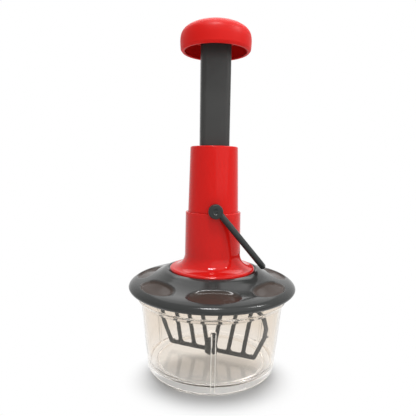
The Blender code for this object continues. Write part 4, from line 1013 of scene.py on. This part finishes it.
def fade_to_white(material, start, end, under, paper):
    """Turns the worktop into a white backdrop with distance, for rays that see it. Near the bowl it paints shade with a
    darker paper that fades into the far paper, and under the bowl it paints a pool of white light for rays through the
    clear plastic.
    """
    tree = material.node_tree
    place = tree.nodes.new("ShaderNodeTexCoord")
    away = tree.nodes.new("ShaderNodeVectorMath")
    away.operation = "LENGTH"
    far = tree.nodes.new("ShaderNodeMapRange")
    far.interpolation_type = "SMOOTHSTEP"
    far.inputs["From Min"].default_value = start
    far.inputs["From Max"].default_value = end
    # An oval centre moved towards the front shapes both the backdrop fade and the painted shade near the bowl.
    oval = tree.nodes.new("ShaderNodeMapping")
    oval.inputs["Location"].default_value = (0.0, 0.032, 0.0)
    oval.inputs["Scale"].default_value = (0.78, 1.0, 1.0)
    wire(tree, place.outputs["Object"], oval.inputs["Vector"])
    wire(tree, oval.outputs["Vector"], away.inputs[0])
    wire(tree, away.outputs["Value"], far.inputs["Value"])
    # Painted shade: the worktop's colour goes from the dark paper near the bowl to the lighter far paper.
    base = tree.nodes["Principled BSDF"].inputs["Base Color"]
    blend = tree.nodes.new("ShaderNodeMix")
    blend.data_type = "RGBA"
    wire(tree, base.links[0].from_socket, blend.inputs["A"])
    blend.inputs["B"].default_value = (*paper, 1.0)
    wire(tree, far.outputs["Result"], blend.inputs["Factor"])
    wire(tree, blend.outputs["Result"], base)
    amount = tree.nodes.new("ShaderNodeMath")
    amount.operation = "MULTIPLY"
    wire(tree, far.outputs["Result"], amount.inputs[0])
    wire(tree, rays_that_see(tree), amount.inputs[1])
    # Painted light: a pool of white glow on the worktop under the bowl, for rays through the clear plastic.
    near = tree.nodes.new("ShaderNodeMapRange")
    near.interpolation_type = "SMOOTHSTEP"
    near.inputs["From Min"].default_value = 0.096
    near.inputs["From Max"].default_value = 0.07
    near.inputs["To Max"].default_value = under
    wire(tree, away.outputs["Value"], near.inputs["Value"])
    rays = tree.nodes.new("ShaderNodeLightPath")
    most = tree.nodes.new("ShaderNodeMath")
    most.operation = "MULTIPLY_ADD"
    wire(tree, near.outputs["Result"], most.inputs[0])
    wire(tree, rays.outputs["Is Transmission Ray"], most.inputs[1])
    wire(tree, amount.outputs[0], most.inputs[2])
    glow = tree.nodes.new("ShaderNodeEmission")
    choice = tree.nodes.new("ShaderNodeMixShader")
    wire(tree, most.outputs[0], choice.inputs["Fac"])
    wire(tree, tree.nodes["Principled BSDF"].outputs["BSDF"], choice.inputs[1])
    wire(tree, glow.outputs["Emission"], choice.inputs[2])
    wire(tree, choice.outputs["Shader"], tree.nodes["Material Output"].inputs["Surface"])


class CHOPPER_OT_stage(bpy.types.Operator):
    """White worktop with painted shade near the bowl and a painted pool of light under it, soft studio lamps and the
    camera at the photograph's angle.
    """

    bl_idname = "chopper.stage"
    bl_label = "Stage"

    def execute(self, context):
        scene = context.scene
        s = scene.chopper.stage
        scene.view_settings.view_transform = "Standard"
        world = bpy.data.worlds.new("studio")
        scene.world = world
        world.use_nodes = True
        background = world.node_tree.nodes["Background"]
        background.inputs["Color"].default_value = (1.0, 1.0, 1.0, 1.0)
        level = world.node_tree.nodes.new("ShaderNodeMapRange")
        level.inputs["To Min"].default_value = s.sky
        level.inputs["To Max"].default_value = 1.0
        wire(world.node_tree, rays_that_see(world.node_tree), level.inputs["Value"])
        wire(world.node_tree, level.outputs["Result"], background.inputs["Strength"])

        reach = 6.0
        floor = bpy.data.meshes.new("worktop")
        corners = [(-reach, -reach, 0), (reach, -reach, 0), (reach, reach, 0), (-reach, reach, 0)]
        floor.from_pydata(corners, [], [(0, 1, 2, 3)])
        worktop = bpy.data.objects.new("worktop", floor)
        scene.collection.objects.link(worktop)
        paper = finish("worktop_with_painted_shade", tuple(s.paper), 0.85, 0.004, 0.05, 0.0008, 0.02)
        fade_to_white(paper, s.fade_start, s.fade_end, s.under_glow, tuple(s.far_paper))
        floor.materials.append(paper)

        aim = (0.0, 0.0, 0.12)
        lamp("overhead_softbox", (0.22, 0.13), 3.4, (-0.06, -0.42, 1.1), aim)
        lamp("window", (0.14, 0.14), 1.6, (0.7, -0.32, 1.0), aim)
        lamp("softbox_shine", (0.34, 0.12), 7.4, (-0.06, -0.42, 1.12), aim, True)
        lamp("window_shine", (0.16, 0.16), 5.6, (0.95, -0.28, 1.02), aim, True)
        sunlight("back_light", 1.7, 60, -30, 4)
        sunlight("key_light", 1.3, 80, 44, 46)

        view = bpy.data.cameras.new("photo_camera")
        view.sensor_width = SENSOR_WIDTH
        view.lens = s.focal * SENSOR_WIDTH / IMAGE_WIDTH
        view.clip_start = 0.01
        camera = bpy.data.objects.new("photo_camera", view)
        scene.collection.objects.link(camera)
        place = (s.distance * math.sin(s.azimuth), -s.distance * math.cos(s.azimuth), s.camera_height)
        camera.matrix_world = (
            Matrix.Translation(place)
            @ Matrix.Rotation(s.azimuth + s.yaw, 4, "Z")
            @ Matrix.Rotation(math.pi / 2 - s.pitch, 4, "X")
            @ Matrix.Rotation(s.roll, 4, "Z")
        )
        scene.camera = camera
        return {"FINISHED"}


OPERATORS = (
    CHOPPER_OT_stage,
    CHOPPER_OT_bowl,
    CHOPPER_OT_lid,
    CHOPPER_OT_column,
    CHOPPER_OT_stem,
    CHOPPER_OT_knob,
    CHOPPER_OT_whisk,
    CHOPPER_OT_bail,
    CHOPPER_OT_inner_parts,
)


class CHOPPER_PT_sidebar(bpy.types.Panel):
    """Lists the chopper's sizes and the operators that build it."""

    bl_label = "Plunger food chopper"
    bl_idname = "CHOPPER_PT_sidebar"
    bl_space_type = "VIEW_3D"
    bl_region_type = "UI"
    bl_category = "Chopper"

    def draw(self, context):
        settings = context.scene.chopper
        for operator in OPERATORS:
            self.layout.operator(operator.bl_idname)
        for group in ("bowl", "lid", "column", "plunger", "whisk", "bail", "stage"):
            box = self.layout.box()
            box.label(text=group.capitalize())
            for name in getattr(settings, group).__annotations__:
                box.prop(getattr(settings, group), name)


CLASSES = (
    BowlSettings,
    LidSettings,
    ColumnSettings,
    PlungerSettings,
    WhiskSettings,
    BailSettings,
    StageSettings,
    ChopperSettings,
    *OPERATORS,
    CHOPPER_PT_sidebar,
)


def register():
    for made in CLASSES:
        bpy.utils.register_class(made)
    bpy.types.Scene.chopper = PointerProperty(type=ChopperSettings)


def unregister():
    del bpy.types.Scene.chopper
    for made in reversed(CLASSES):
        bpy.utils.unregister_class(made)


def main():
    register()
    bpy.ops.chopper.stage()
    bpy.ops.chopper.bowl()
    bpy.ops.chopper.lid()
    bpy.ops.chopper.column()
    bpy.ops.chopper.stem()
    bpy.ops.chopper.knob()
    bpy.ops.chopper.whisk()
    bpy.ops.chopper.bail()
    bpy.ops.chopper.inner_parts()


if __name__ == "__main__":
    main()
